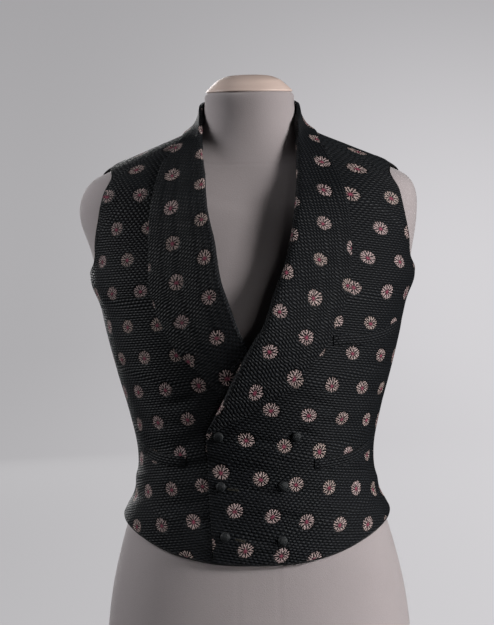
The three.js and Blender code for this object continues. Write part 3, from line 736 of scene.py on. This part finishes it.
def tube(name, path, radius, material, sides=8, closed=False):
    """A round cord along a path of points."""
    path = np.asarray(path, float)
    ahead = np.roll(path, -1, 0) if closed else np.vstack([path[1:], 2 * path[-1] - path[-2]])
    behind = np.roll(path, 1, 0) if closed else np.vstack([2 * path[0] - path[1], path[:-1]])
    way = ahead - behind
    way /= np.linalg.norm(way, axis=-1, keepdims=True)
    first = path - way * np.sum(path * way, -1, keepdims=True)
    first /= np.linalg.norm(first, axis=-1, keepdims=True)
    second = np.cross(way, first)
    turn = 2 * np.pi * np.arange(sides) / sides
    taper = np.ones(len(path))
    if not closed:
        taper[[0, -1]] = 0.45
    ring = np.cos(turn)[None, :, None] * first[:, None] + np.sin(turn)[None, :, None] * second[:, None]
    points = (path[:, None] + ring * (radius * taper)[:, None, None]).reshape(-1, 3)
    length = len(path)
    if closed:
        i, j = np.meshgrid(np.arange(length), np.arange(sides), indexing="ij")
        a = i * sides + j
        b = i * sides + (j + 1) % sides
        c = ((i + 1) % length) * sides + (j + 1) % sides
        d = ((i + 1) % length) * sides + j
        faces = np.stack([a, b, c, d], -1).reshape(-1, 4)
        caps = []
    else:
        faces = grid_faces(length, sides, closed=True)
        caps = [list(range(sides))[::-1], [(length - 1) * sides + k for k in range(sides)]]
    good = faces_out(points, faces)
    if good is not faces:
        caps = [cap[::-1] for cap in caps]
    listed = [list(f) for f in good] + caps
    along = np.concatenate([[0], np.cumsum(np.linalg.norm(np.diff(path, axis=0), axis=-1))])
    uv = np.stack([np.repeat(along, sides), np.tile(np.arange(sides) * radius, length)], -1)
    return mesh_object(name, points, listed, material, uv)


# Materials

def new_material(name, colour, roughness, **values):
    material = bpy.data.materials.new(name)
    material.use_nodes = True
    shader = material.node_tree.nodes["Principled BSDF"]
    shader.inputs["Base Color"].default_value = (*colour, 1)
    shader.inputs["Roughness"].default_value = roughness
    for key, value in values.items():
        shader.inputs[key.replace("_", " ")].default_value = value
    return material, Nodes(material.node_tree), shader


class Nodes:
    """Short names for the nodes of one material."""

    def __init__(self, tree):
        self.tree = tree

    def add(self, kind, **settings):
        node = self.tree.nodes.new(kind)
        for key, value in settings.items():
            setattr(node, key, value)
        return node

    def set(self, socket, value):
        if isinstance(value, bpy.types.NodeSocket):
            self.tree.links.new(value, socket)
        else:
            socket.default_value = value

    def math(self, operation, *values):
        node = self.add("ShaderNodeMath", operation=operation)
        for socket, value in zip(node.inputs, values):
            self.set(socket, value)
        return node.outputs[0]

    def ramp(self, value, low, high):
        node = self.add("ShaderNodeMapRange", interpolation_type="SMOOTHSTEP")
        for socket, item in zip(node.inputs, (value, low, high)):
            self.set(socket, item)
        return node.outputs[0]

    def mix(self, share, first, second):
        node = self.add("ShaderNodeMix", data_type="RGBA")
        self.set(node.inputs[0], share)
        for socket, value in ((node.inputs[6], first), (node.inputs[7], second)):
            self.set(socket, value if isinstance(value, bpy.types.NodeSocket) else (*value, 1))
        return node.outputs[2]

    def noise(self, vector, scale, detail=2.0, roughness=0.5):
        node = self.add("ShaderNodeTexNoise")
        self.set(node.inputs["Vector"], vector)
        node.inputs["Scale"].default_value = scale
        node.inputs["Detail"].default_value = detail
        node.inputs["Roughness"].default_value = roughness
        return node.outputs["Fac"]

    def wave(self, value, pitch):
        """A rounded wave from 0 to 1 with the given pitch."""
        turn = self.math("MULTIPLY", value, 2 * math.pi / pitch)
        return self.math("MULTIPLY_ADD", self.math("COSINE", turn), 0.5, 0.5)

    def bump(self, height, shader, distance=MM):
        node = self.add("ShaderNodeBump")
        self.set(node.inputs["Height"], height)
        node.inputs["Distance"].default_value = distance
        self.tree.links.new(node.outputs[0], shader.inputs["Normal"])


def cloth_coordinates(n):
    """The x and y of a point on the woven cloth, in millimetres."""
    uv = n.add("ShaderNodeUVMap", uv_map="cloth")
    parts = n.add("ShaderNodeSeparateXYZ")
    n.tree.links.new(uv.outputs[0], parts.inputs[0])
    x = n.math("MULTIPLY", parts.outputs[0], 100)
    y = n.math("MULTIPLY", parts.outputs[1], 100)
    return uv.outputs[0], x, y


def weave_height(n, x, y):
    """Short raised floats in rows, set like bricks, with a sunken furrow between the rows, which the cloth's
    colour darkens as painted shade.
    """
    row = n.math("FLOOR", n.math("DIVIDE", y, WEAVE_PITCH))
    odd = n.math("MULTIPLY", n.math("MODULO", n.math("ABSOLUTE", row), 2), math.pi)
    across = n.math("ABSOLUTE", n.math("SINE", n.math("MULTIPLY", y, math.pi / WEAVE_PITCH)))
    turn = n.math("ADD", n.math("MULTIPLY", x, 2 * math.pi / DASH_PITCH), odd)
    along = n.math("POWER", n.math("MULTIPLY_ADD", n.math("COSINE", turn), 0.5, 0.5), 0.5)
    return n.math("MULTIPLY", n.math("POWER", across, 0.85), n.math("MULTIPLY_ADD", along, 0.75, 0.25))


def spot(n, x, y, uv):
    """A woven star: forked rays round a point a little below the middle.

    Returns its rays, its core, the plain field that it lies in and a number of its own.
    """
    noise = n.add("ShaderNodeTexNoise")
    n.set(noise.inputs["Vector"], uv)
    noise.inputs["Scale"].default_value = 48
    noise.inputs["Detail"].default_value = 2
    jitter = n.add("ShaderNodeSeparateColor")
    n.set(jitter.inputs[0], noise.outputs["Color"])
    row = n.math("DIVIDE", y, SPOT_ROW_PITCH)
    whole_row = n.math("ROUND", row)
    part_row = n.math("SUBTRACT", row, whole_row)
    column = n.math("DIVIDE", n.math("MULTIPLY_ADD", row, -SPOT_PITCH / 2, x), SPOT_PITCH)
    whole_column = n.math("ROUND", column)
    part_column = n.math("SUBTRACT", column, whole_column)
    pair = n.add("ShaderNodeCombineXYZ")
    n.set(pair.inputs[0], whole_column)
    n.set(pair.inputs[1], whole_row)
    seed = n.add("ShaderNodeTexWhiteNoise", noise_dimensions="2D")
    n.set(seed.inputs["Vector"], pair.outputs[0])
    local_x = n.math("MULTIPLY", n.math("MULTIPLY_ADD", part_row, 0.5, part_column), SPOT_PITCH)
    local_y = n.math("MULTIPLY", part_row, SPOT_ROW_PITCH)
    radius = n.math("SQRT", n.math("ADD", n.math("POWER", local_x, 2), n.math("POWER", local_y, 2)))
    ray_x = n.math("ADD", local_x, n.math("MULTIPLY_ADD", jitter.outputs[0], 3.2, -1.6))
    ray_y = n.math("ADD", local_y, n.math("MULTIPLY_ADD", jitter.outputs[1], 3.2, SPOT_CENTRE_DROP - 1.6))
    reach = n.math("SQRT", n.math("ADD", n.math("POWER", ray_x, 2), n.math("POWER", ray_y, 2)))
    angle = n.math("MULTIPLY_ADD", seed.outputs["Value"], 0.5, n.math("ARCTAN2", ray_x, ray_y))
    turn = n.math("MULTIPLY", angle, RAYS / (2 * math.pi))
    turn = n.math("SUBTRACT", turn, n.math("ROUND", turn))
    from_ray = n.math("ABSOLUTE", n.math("MULTIPLY", turn, 2 * math.pi / RAYS))
    spread = n.math("MULTIPLY", n.ramp(reach, 2.6, 8.5), math.pi / RAYS * 0.56)
    off = n.math("MULTIPLY", n.math("ABSOLUTE", n.math("SUBTRACT", from_ray, spread)), reach)
    width = n.math("MULTIPLY_ADD", reach, 0.044, 0.24)
    rays = n.ramp(n.math("SUBTRACT", off, width), 0.34, -0.3)
    edge = n.math("MULTIPLY_ADD", jitter.outputs[2], 4.5, SPOT_RADIUS - 2.5)
    inside = n.ramp(n.math("SUBTRACT", radius, edge), 0.3, -0.3)
    rays = n.math("MULTIPLY", n.math("MAXIMUM", rays, n.ramp(reach, 1.9, 0.9)), inside)
    core = n.ramp(reach, 4.4, 1.4)
    field = n.ramp(radius, SPOT_RADIUS + 1.8, SPOT_RADIUS)
    return rays, core, field, seed.outputs["Value"]


def star_cloth():
    material, n, shader = new_material(
        "star_cloth", (0.008, 0.0095, 0.011), 0.5,
        Sheen_Weight=0.012, Sheen_Roughness=0.35, Specular_IOR_Level=0.13,
    )
    shader.inputs["Sheen Tint"].default_value = (0.75, 0.88, 0.95, 1)
    uv, x, y = cloth_coordinates(n)
    weave = weave_height(n, x, y)
    rays, core, field, seed = spot(n, x, y, uv)
    plain = n.math("MULTIPLY", weave, n.math("SUBTRACT", 1.0, n.math("MULTIPLY", field, 0.9)))
    threads = n.noise(uv, 150, 3)
    patches = n.noise(uv, 3.0, 2)
    # Painted light: the ground's colour follows the weave's height, with painted shade in the furrows and a
    # painted highlight on the tops of the floats
    ground = n.mix(plain, (0.0003, 0.0003, 0.0004), (0.0105, 0.0122, 0.0152))
    ground = n.mix(n.math("MULTIPLY", patches, 0.3), ground, (0.004, 0.0045, 0.0055))
    pale = n.mix(threads, (0.26, 0.17, 0.17), (0.60, 0.48, 0.47))
    pale = n.mix(n.math("MULTIPLY", seed, 0.4), pale, (0.33, 0.28, 0.22))
    thread = n.mix(core, pale, (0.24, 0.05, 0.085))
    colour = n.mix(n.math("MULTIPLY", rays, 0.95), ground, thread)
    n.set(shader.inputs["Base Color"], colour)
    rough = n.math("MULTIPLY_ADD", n.math("MAXIMUM", rays, n.math("SUBTRACT", 1.0, weave)), 0.3, 0.42)
    n.set(shader.inputs["Roughness"], rough)
    height = n.math("ADD", n.math("MULTIPLY", plain, 1.1), n.math("MULTIPLY", rays, 0.5))
    height = n.math("ADD", height, n.math("MULTIPLY", threads, 0.12))
    n.bump(height, shader)
    return material


def plain_cloth(name, colour, roughness, weave_scale, sheen):
    """A plain fine weave, for the back, the buttons and the edges."""
    material, n, shader = new_material(
        name, colour, roughness, Sheen_Weight=sheen, Sheen_Roughness=0.5, Specular_IOR_Level=0.2
    )
    uv, x, y = cloth_coordinates(n)
    warp = n.wave(x, weave_scale)
    weft = n.wave(y, weave_scale)
    cloudy = n.noise(uv, 2.5, 3)
    slub = n.noise(uv, 60, 3)
    tint = n.math("ADD", n.math("MULTIPLY", cloudy, 0.5), n.math("MULTIPLY", slub, 0.4))
    lighter = tuple(c * 1.9 for c in colour)
    darker = tuple(c * 0.55 for c in colour)
    n.set(shader.inputs["Base Color"], n.mix(tint, darker, lighter))
    threads = n.math("MULTIPLY", n.math("MULTIPLY", warp, weft), 0.12)
    height = n.math("ADD", threads, n.math("MULTIPLY", slub, 0.1))
    n.bump(height, shader)
    return material


def form_cover():
    material, n, shader = new_material(
        "form_cover", (0.27, 0.235, 0.238), 0.9, Sheen_Weight=0.25, Sheen_Roughness=0.6
    )
    place = n.add("ShaderNodeTexCoord").outputs["Object"]
    fine = n.noise(place, 900, 2)
    cloudy = n.noise(place, 9, 4, 0.6)
    tint = n.math("ADD", n.math("MULTIPLY", fine, 0.45), n.math("MULTIPLY", cloudy, 0.5))
    n.set(shader.inputs["Base Color"], n.mix(tint, (0.235, 0.205, 0.208), (0.335, 0.295, 0.298)))
    n.bump(fine, shader, 0.25 * MM)
    return material


def cap_wood():
    material, n, shader = new_material(
        "cap_wood", (0.62, 0.47, 0.41), 0.42, Coat_Weight=0.12, Coat_Roughness=0.35
    )
    place = n.add("ShaderNodeTexCoord").outputs["Object"]
    stretch = n.add("ShaderNodeMapping")
    n.set(stretch.inputs["Vector"], place)
    stretch.inputs["Scale"].default_value = (1.0, 1.0, 9.0)
    grain_lines = n.noise(stretch.outputs[0], 22, 4, 0.6)
    n.set(shader.inputs["Base Color"], n.mix(grain_lines, (0.56, 0.43, 0.38), (0.72, 0.58, 0.51)))
    n.bump(grain_lines, shader, 0.08 * MM)
    return material


STAR = star_cloth()
BACK = plain_cloth("back_cotton", (0.009, 0.009, 0.0098), 0.62, 0.9, 0.04)
SILK = plain_cloth("covered_silk", (0.0075, 0.0088, 0.010), 0.42, 0.7, 0.05)
EDGING = plain_cloth("edge_cord", (0.0028, 0.003, 0.0033), 0.55, 0.8, 0.02)
HOLE_SILK = plain_cloth("buttonhole_silk", (0.030, 0.027, 0.018), 0.5, 0.5, 0.05)
COVER = form_cover()
WOOD = cap_wood()


def fit(piece, slot, *nodes):
    """Says what a piece rides on and which nodes it stands for; its slot, for what it is made of, is not
    used.
    """
    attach(piece, "root")
    if nodes:
        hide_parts(*nodes)


def fit_sheet(piece, slot, node):
    """Fits a piece of cloth."""
    fit(piece, slot, node)


# Dress form

NECK_SEAM_Z = 657  # level at the front, and along a row of the form behind
NECK_SEAM_ROW = 16
# Columns: angle from the front, height of the seam's upper end
FORM_SEAMS = [[13, 240], [-13, 240], [62, 640], [-62, 640], [118, 700], [-118, 700], [166, 700], [-166, 700]]
FORM_SEAM_DEPTH = 0.4
FORM_SEAM_HALF_WIDTH = 1.3


def cover_point(angle, row):
    """The form's own surface, with the swell of its right shoulder."""
    middle, height, angle_spread, height_spread, amount = RIGHT_SHOULDER
    point = form_point(angle, row)
    away = turned(middle, angle) / angle_spread
    out = amount * np.exp(-(away**2) - ((point[..., 2] - height) / height_spread) ** 2)
    return point + normal_of(form_point, angle, row) * out[..., None]


def neck_seam_row(angle):
    rows = np.linspace(NECK_SEAM_ROW - 3, NECK_SEAM_ROW + 2, 80)
    level = np.array([np.interp(NECK_SEAM_Z, form_point(np.full(80, a), rows)[:, 2], rows) for a in angle])
    share = smoothstep(30, 75, np.abs(turned(0, angle)))
    return level * (1 - share) + NECK_SEAM_ROW * share


def build_form():
    segments, rows = ((200, 300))
    angle = np.linspace(0, 360, segments, endpoint=False)[None, :]
    row = np.linspace(0, TOP_ROW, rows)[:, None]
    angle, row = np.broadcast_arrays(angle, row)
    body = cover_point(angle, row)
    normal = normal_of(form_point, angle, row)
    neck_row = np.broadcast_to(neck_seam_row(angle[0]), angle.shape)
    seam = np.linalg.norm(body - form_point(angle, neck_row), axis=-1)
    across = np.hypot(body[..., 0], body[..., 1])
    for middle, upper_end in FORM_SEAMS:
        below = (row < neck_row) & (body[..., 2] < upper_end)
        seam = np.minimum(seam, np.where(below, np.radians(np.abs(turned(middle, angle))) * across, 99))
    groove = np.exp(-((seam / FORM_SEAM_HALF_WIDTH) ** 2))
    groove *= smoothstep(2, 12, body[..., 2]) * (1 - smoothstep(735, 742, body[..., 2]))
    body = body - normal * (FORM_SEAM_DEPTH * groove)[..., None]
    points = body.reshape(-1, 3)
    form = mesh_object("form", points, capped_faces(points, rows, segments), COVER)
    fit(form, "form_cover", "form_body")


def build_cap():
    segments, rows = 120, 40
    angle = np.linspace(0, 360, segments, endpoint=False)
    ring = form_point(angle, np.full(segments, float(TOP_ROW)))
    profile = curve_through(CAP_PROFILE)(np.linspace(0, 1, rows))
    points = []
    for share, height in profile[:-1]:
        level = ring * np.array([share, share, 1]) + np.array([0, 0, SEAM_GAP + height * NECK_CAP_HEIGHT])
        points.append(level)
    points = np.concatenate(points)
    cap = mesh_object("neck_cap", points, capped_faces(points, rows - 1, segments), WOOD)
    fit(cap, "cap_wood", "form_neck_cap")


# Fronts and backs

def panel(name, place, columns, rows, lift, seams, material, slot, node, cut=None):
    u, t = grid(columns, rows)
    at = place(u, t)
    base = lift(at)
    inner = cloth_point(at, base)
    outer = cloth_point(at, base + WALL)
    groove = seam_groove(outer, seams) if seams else 0
    outer = cloth_point(at, base + WALL - groove)
    flat = lay_flat(outer)
    up_row = int(rows * 0.28)
    flat = grain(flat, (0, 0), (up_row, 0))
    handed = np.cross(flat[0, -1] - flat[0, 0], flat[up_row, 0] - flat[0, 0])
    if handed * (outer[0, -1, 0] - outer[0, 0, 0]) < 0:
        flat = flip(flat)
    uv = cut_from_cloth(flat, outer, cut) if cut else flat
    fit_sheet(shell(name, outer, inner, uv, material), slot, node)


over_front = front_patch(1, CLOSING_EDGE_OVER, LAPEL_OVER)
under_front = front_patch(-1, CLOSING_EDGE_UNDER, LAPEL_UNDER)
build_form()
build_cap()
panel(
    "front_left_cloth", over_front, 130, 250, over_lift, SEAMS_OVER, STAR, "cloth", "front_left", "front_over"
)
panel(
    "front_right_cloth", under_front, 130, 250, no_lift, SEAMS_UNDER, STAR, "cloth", "front_right",
    "front_under",
)
panel("back_left_cloth", back_patch(1), 90, 190, no_lift, [], BACK, "back_cloth", "back_left")
panel("back_right_cloth", back_patch(-1), 90, 190, no_lift, [], BACK, "back_cloth", "back_right")


# Collar

def collar_edges(side, lapel):
    roll_angle, roll_z, outer_angle, outer_z = np.transpose(COLLAR_AT_NECK)
    roll_at_neck = at_angle(roll_angle * side, roll_z)
    outer_at_neck = at_angle(outer_angle * side, outer_z)
    roll_at_neck[0] = beside(roll_at_neck[0], (-SEAM_GAP / 2) * side)
    outer_at_neck[0] = beside(outer_at_neck[0], (-SEAM_GAP / 2) * side)
    roll_x, roll_z, outer_x, outer_z = np.transpose(lapel)
    roll = curve_through([*roll_at_neck, *at_front(roll_x, roll_z)])
    outer = curve_through([*outer_at_neck, *at_front(outer_x, outer_z)])
    return roll, outer


def collar_half(name, side, lapel, lift, flattening, node, cut):
    rows, columns = ((280, 56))
    roll, outer_edge = collar_edges(side, lapel)
    t = np.linspace(0, 1, rows + 1)
    start, end = roll(t), outer_edge(t)
    width = np.linalg.norm(cloth_point(start, 0 * t) - cloth_point(end, 0 * t), axis=-1)
    full = smoothstep(5, ROLL_FULL_WIDTH, width)
    at_neck = 1 - smoothstep(0.12, 0.3, t)
    on_chest = 1 - (1 - NECK_ROLL_SHARE) * (1 - smoothstep(0.16, 0.42, t))
    outer_face, inner_face = [], []
    for i, (outer_share, inner_share, height) in enumerate(COLLAR_SECTION):
        outer_at = start + (end - start) * outer_share
        inner_at = start + (end - start) * inner_share
        spring = COLLAR_SPRING * at_neck * math.sin(math.pi * outer_share)
        rise = ROLL_HEIGHT * height * full * flattening(t) * on_chest + spring
        seat = WALL + COLLAR_GAP
        low = full * (WALL + COLLAR_GAP - SEAM_GAP) if i == 0 else 0
        hook = full * COLLAR_WALL * 0.5 if i == 0 else 0
        outer_face.append(cloth_point(outer_at, lift(outer_at) + seat + rise + COLLAR_WALL - low - hook))
        inner_face.append(cloth_point(inner_at, lift(inner_at) + seat + rise - low))
    across = np.linspace(0, 1, columns + 1)
    across = across * (0.45 + 0.55 * across)
    outer = np.moveaxis(curve_through(outer_face)(across), 0, 1)
    inner = np.moveaxis(curve_through(inner_face)(across), 0, 1)
    flat = lay_flat(outer)
    flat = grain(flat, (rows, 0), (int(rows * 0.6), 0))
    if (flat[rows // 2, -1, 0] - flat[rows // 2, 0, 0]) * side < 0:
        flat = flip(flat)
    fit_sheet(shell(name, outer, inner, cut_from_cloth(flat, outer, cut), STAR), "cloth", node)


collar_half(
    "collar_left_cloth", 1, LAPEL_OVER, over_lift, lambda t: np.ones(t.shape), "collar_left", "collar_over"
)
collar_half(
    "collar_right_cloth", -1, LAPEL_UNDER, no_lift, lambda t: 1 - smoothstep(0.6, 0.72, t),
    "collar_right", "collar_under",
)


def build_stand():
    u, t = grid(90, 10)
    at = stand_patch()(u, t)
    outer, inner = cloth_point(at, np.full(u.shape, WALL)), cloth_point(at, 0 * u)
    flat = lay_flat(outer)
    piece = shell("collar_stand_cloth", outer, inner, flat + STAND_CUT_AT, STAR)
    fit_sheet(piece, "cloth", "collar_stand")


build_stand()


# Pocket welts

WELT_SEWN_DOWN = 1.2
WELT_CUT_AT = (13, 16)  # its place on the woven cloth


def build_welt(name, line, lift, node):
    t = np.linspace(0, 1, 13)[:, None]
    at = welt_places(line, 70, 12)
    base = lift(at) + WALL + WELT_GAP
    crown = 0.25 * np.sin(np.pi * t) ** 0.5
    ends = np.linspace(0, 1, at.shape[1])
    free = smoothstep(0, 0.1, np.minimum(ends, 1 - ends)) * (0.35 + 0.65 * smoothstep(0, 0.3, t))
    sewn = WELT_SEWN_DOWN * (1 - free)
    outer, inner = cloth_point(at, base + WALL + crown - sewn), cloth_point(at, base - 0.35 * sewn)
    flat = lay_flat(outer)
    fit_sheet(shell(name, outer, inner, flat + WELT_CUT_AT, STAR), "cloth", node)


build_welt("welt_breast_cloth", WELT_BREAST, over_lift, "welt_breast")
build_welt("welt_waist_left_cloth", WELT_WAIST_OVER, over_lift, "welt_waist_left")
build_welt("welt_waist_right_cloth", WELT_WAIST_UNDER, no_lift, "welt_waist_right")


# Buttons

# Columns: share of the radius, height
BUTTON_SHAPE = [
    [0, 4.25], [0.3, 4.15], [0.62, 3.75], [0.86, 3], [0.98, 2.1], [1, 1.2], [0.93, 0.5], [0.8, 0.1],
]


def build_button(name, at, node):
    segments, rows = 40, 18
    centre = cloth_point(at, over_lift(at) + WALL + SEAM_GAP)
    normal = normal_of(body_point, at[0], at[1])
    side = np.cross([0, 0, 1], normal)
    side /= np.linalg.norm(side)
    up = np.cross(normal, side)
    profile = curve_through(BUTTON_SHAPE)(np.linspace(0.02, 1, rows))
    turn = np.linspace(0, 2 * np.pi, segments, endpoint=False)
    points, uv = [], []
    for share, height in profile:
        pleat = 1 + 0.012 * np.cos(turn * 10) * smoothstep(0.75, 1, share)
        radius = share * BUTTON_RADIUS * pleat
        flat = np.stack([radius * np.cos(turn), radius * np.sin(turn)], -1)
        points.append(centre + flat[:, :1] * side + flat[:, 1:] * up + height * normal)
        uv.append(flat)
    points = np.concatenate(points)
    faces = capped_faces(points, rows, segments, from_top=True)
    fit(mesh_object(name, points, faces, SILK, np.concatenate(uv)), "button_cloth", node)


for row_name, row_places in (("edge", BUTTONS_EDGE), ("far", BUTTONS_FAR)):
    for number, at in enumerate(at_front(*np.transpose(row_places)), 1):
        build_button(f"button_{row_name}_{number}_covered", at, f"button_{row_name}_{number}")


# Edge cords and buttonholes

EDGE_RADIUS = 1.15


def edge_cord(name, place, u, t, lift):
    at = place(u, t)
    path = cloth_point(at, lift(at) + WALL * 0.5)
    fit(tube(name, path, EDGE_RADIUS, EDGING), "cloth")


HEM_SHARES = np.linspace(0.002, 0.998, 160)
ARMHOLE_SHARES = np.linspace(ARMHOLE_LEVEL, 0.998, 130)
for name, place, lift in (
    ("left", over_front, over_lift),
    ("right", under_front, no_lift),
    ("back_left", back_patch(1), no_lift),
    ("back_right", back_patch(-1), no_lift),
):
    edge_cord(f"hem_cord_{name}", place, HEM_SHARES, 0 * HEM_SHARES, lift)
    edge_cord(f"armhole_cord_{name}", place, ARMHOLE_SHARES**0, ARMHOLE_SHARES, lift)


# Buttonholes of the edge row. Columns: x and z of the two ends
BUTTONHOLES = [[-35.5, 261.5, -22.5, 259.5], [-27, 200, -15.5, 197]]
HOLE_HALF_WIDTH = 0.9
HOLE_RIM_RADIUS = 0.42


def build_buttonhole(name, ends):
    """A worked slit: a rim of silk thread round a narrow opening."""
    x1, z1, x2, z2 = ends
    middle = np.array([x1 + x2, z1 + z2]) / 2
    half = np.array([x2 - x1, z2 - z1]) / 2
    length = np.hypot(*half)
    along = half / length
    across = np.array([-along[1], along[0]])
    turn = np.linspace(0, 2 * np.pi, 48, endpoint=False)
    reach = np.sign(np.cos(turn)) * np.abs(np.cos(turn)) ** 0.6 * length
    side = np.sin(turn) * HOLE_HALF_WIDTH
    places = middle + reach[:, None] * along + side[:, None] * across
    at = at_front(places[:, 0], places[:, 1])
    path = cloth_point(at, over_lift(at) + WALL + 0.15)
    fit(tube(name, path, HOLE_RIM_RADIUS, HOLE_SILK, sides=6, closed=True), "cloth")


for number, ends in enumerate(BUTTONHOLES, 2):
    build_buttonhole(f"buttonhole_{number}", ends)


# Stage, light and camera

FLOOR_RADIUS = 6.5
WALL_RADIUS = 8.0
STAGE_HEIGHT = 7.0


def build_stage():
    """A round floor that curves up into a wall all round, so that every view has the same plain ground."""
    bend = WALL_RADIUS - FLOOR_RADIUS
    turns = np.linspace(0, math.pi / 2, 16)
    profile = [(0.001, 0.0), (1.5, 0.0), (3.5, 0.0), (5.0, 0.0)]
    profile += [(FLOOR_RADIUS + bend * math.sin(a), bend - bend * math.cos(a)) for a in turns]
    profile += [(WALL_RADIUS, STAGE_HEIGHT)]
    segments = 96
    turn = np.linspace(0, 2 * np.pi, segments, endpoint=False)
    points = np.array([(r * np.cos(a), r * np.sin(a), z - 0.0005) for r, z in profile for a in turn])
    faces = grid_faces(len(profile), segments, closed=True)
    mesh = bpy.data.meshes.new("backdrop")
    mesh.from_pydata(points.tolist(), [], faces.tolist())
    mesh.polygons.foreach_set("use_smooth", [True] * len(faces))
    backdrop = bpy.data.objects.new("backdrop", mesh)
    bpy.context.scene.collection.objects.link(backdrop)
    material, n, shader = new_material(
        "backdrop_painted_light", (0.03, 0.03, 0.03), 1.0, Emission_Strength=1.0, Specular_IOR_Level=0.0
    )
    place = n.add("ShaderNodeTexCoord").outputs["Object"]
    parts = n.add("ShaderNodeSeparateXYZ")
    n.set(parts.inputs[0], place)
    # Painted light: the backdrop glows instead of being lit, brighter towards +X and dimmer higher up,
    # standing in for the lamps' light falling on it
    level = n.mix(n.ramp(parts.outputs[0], -0.9, 0.9), (0.425, 0.418, 0.43), (0.66, 0.647, 0.668))
    level = n.mix(n.ramp(parts.outputs[2], 0.2, 1.9), level, (0.36, 0.353, 0.364))
    n.set(shader.inputs["Emission Color"], level)
    mesh.materials.append(material)
    backdrop.visible_diffuse = False
    backdrop.visible_glossy = False


# Columns: name, place, target, size, power, spread in degrees, colour
LAMPS = [
    ["key", (1.98, -0.95, 1.05), (0, 0, 0.42), 0.45, 66, 180, (1.0, 0.985, 0.975)],
    ["left", (-2.1, 0.1, 1.4), (0, 0, 0.45), 0.9, 40, 180, (0.98, 0.985, 1.0)],
    ["low", (1.1, -1.9, 0.2), (0, 0, -0.2), 0.8, 1.5, 40, (1.0, 1.0, 1.0)],
    ["back", (-0.9, 2.6, 0.9), (0, 0, 0.4), 1.4, 34, 180, (1.0, 1.0, 1.0)],
]
AMBIENT = 0.012


def build_lights():
    for name, place, target, size, power, spread, colour in LAMPS:
        light = bpy.data.lights.new(name, "AREA")
        light.shape = "SQUARE"
        light.size = size
        light.energy = power
        light.spread = math.radians(spread)
        light.color = colour
        lamp = bpy.data.objects.new(name, light)
        lamp.location = place
        lamp.rotation_euler = (Vector(target) - Vector(place)).to_track_quat("-Z", "Y").to_euler()
        lamp.visible_camera = False
        bpy.context.scene.collection.objects.link(lamp)
    world = bpy.data.worlds.new("studio")
    world.use_nodes = True
    background = world.node_tree.nodes["Background"]
    background.inputs[0].default_value = (0.97, 0.96, 1.0, 1)
    background.inputs[1].default_value = AMBIENT
    bpy.context.scene.world = world


def build_camera():
    camera = bpy.data.objects.new("camera", bpy.data.cameras.new("camera"))
    camera.data.lens = FOCAL_PIXELS / FRAME_PIXELS * camera.data.sensor_width
    camera.data.clip_end = 50
    shift_x, shift_y = FORM_SHIFT
    camera.location = ((CAMERA_ASIDE + shift_x) * MM, shift_y * MM - CAMERA_DISTANCE, CAMERA_HEIGHT)
    pitch = Matrix.Rotation(math.radians(90 - CAMERA_PITCH), 4, "X")
    camera.rotation_euler = (pitch @ Matrix.Rotation(math.radians(-CAMERA_ROLL), 4, "Z")).to_euler()
    bpy.context.scene.collection.objects.link(camera)
    bpy.context.scene.camera = camera


build_stage()
build_lights()
build_camera()
bpy.context.scene.view_settings.view_transform = "Standard"
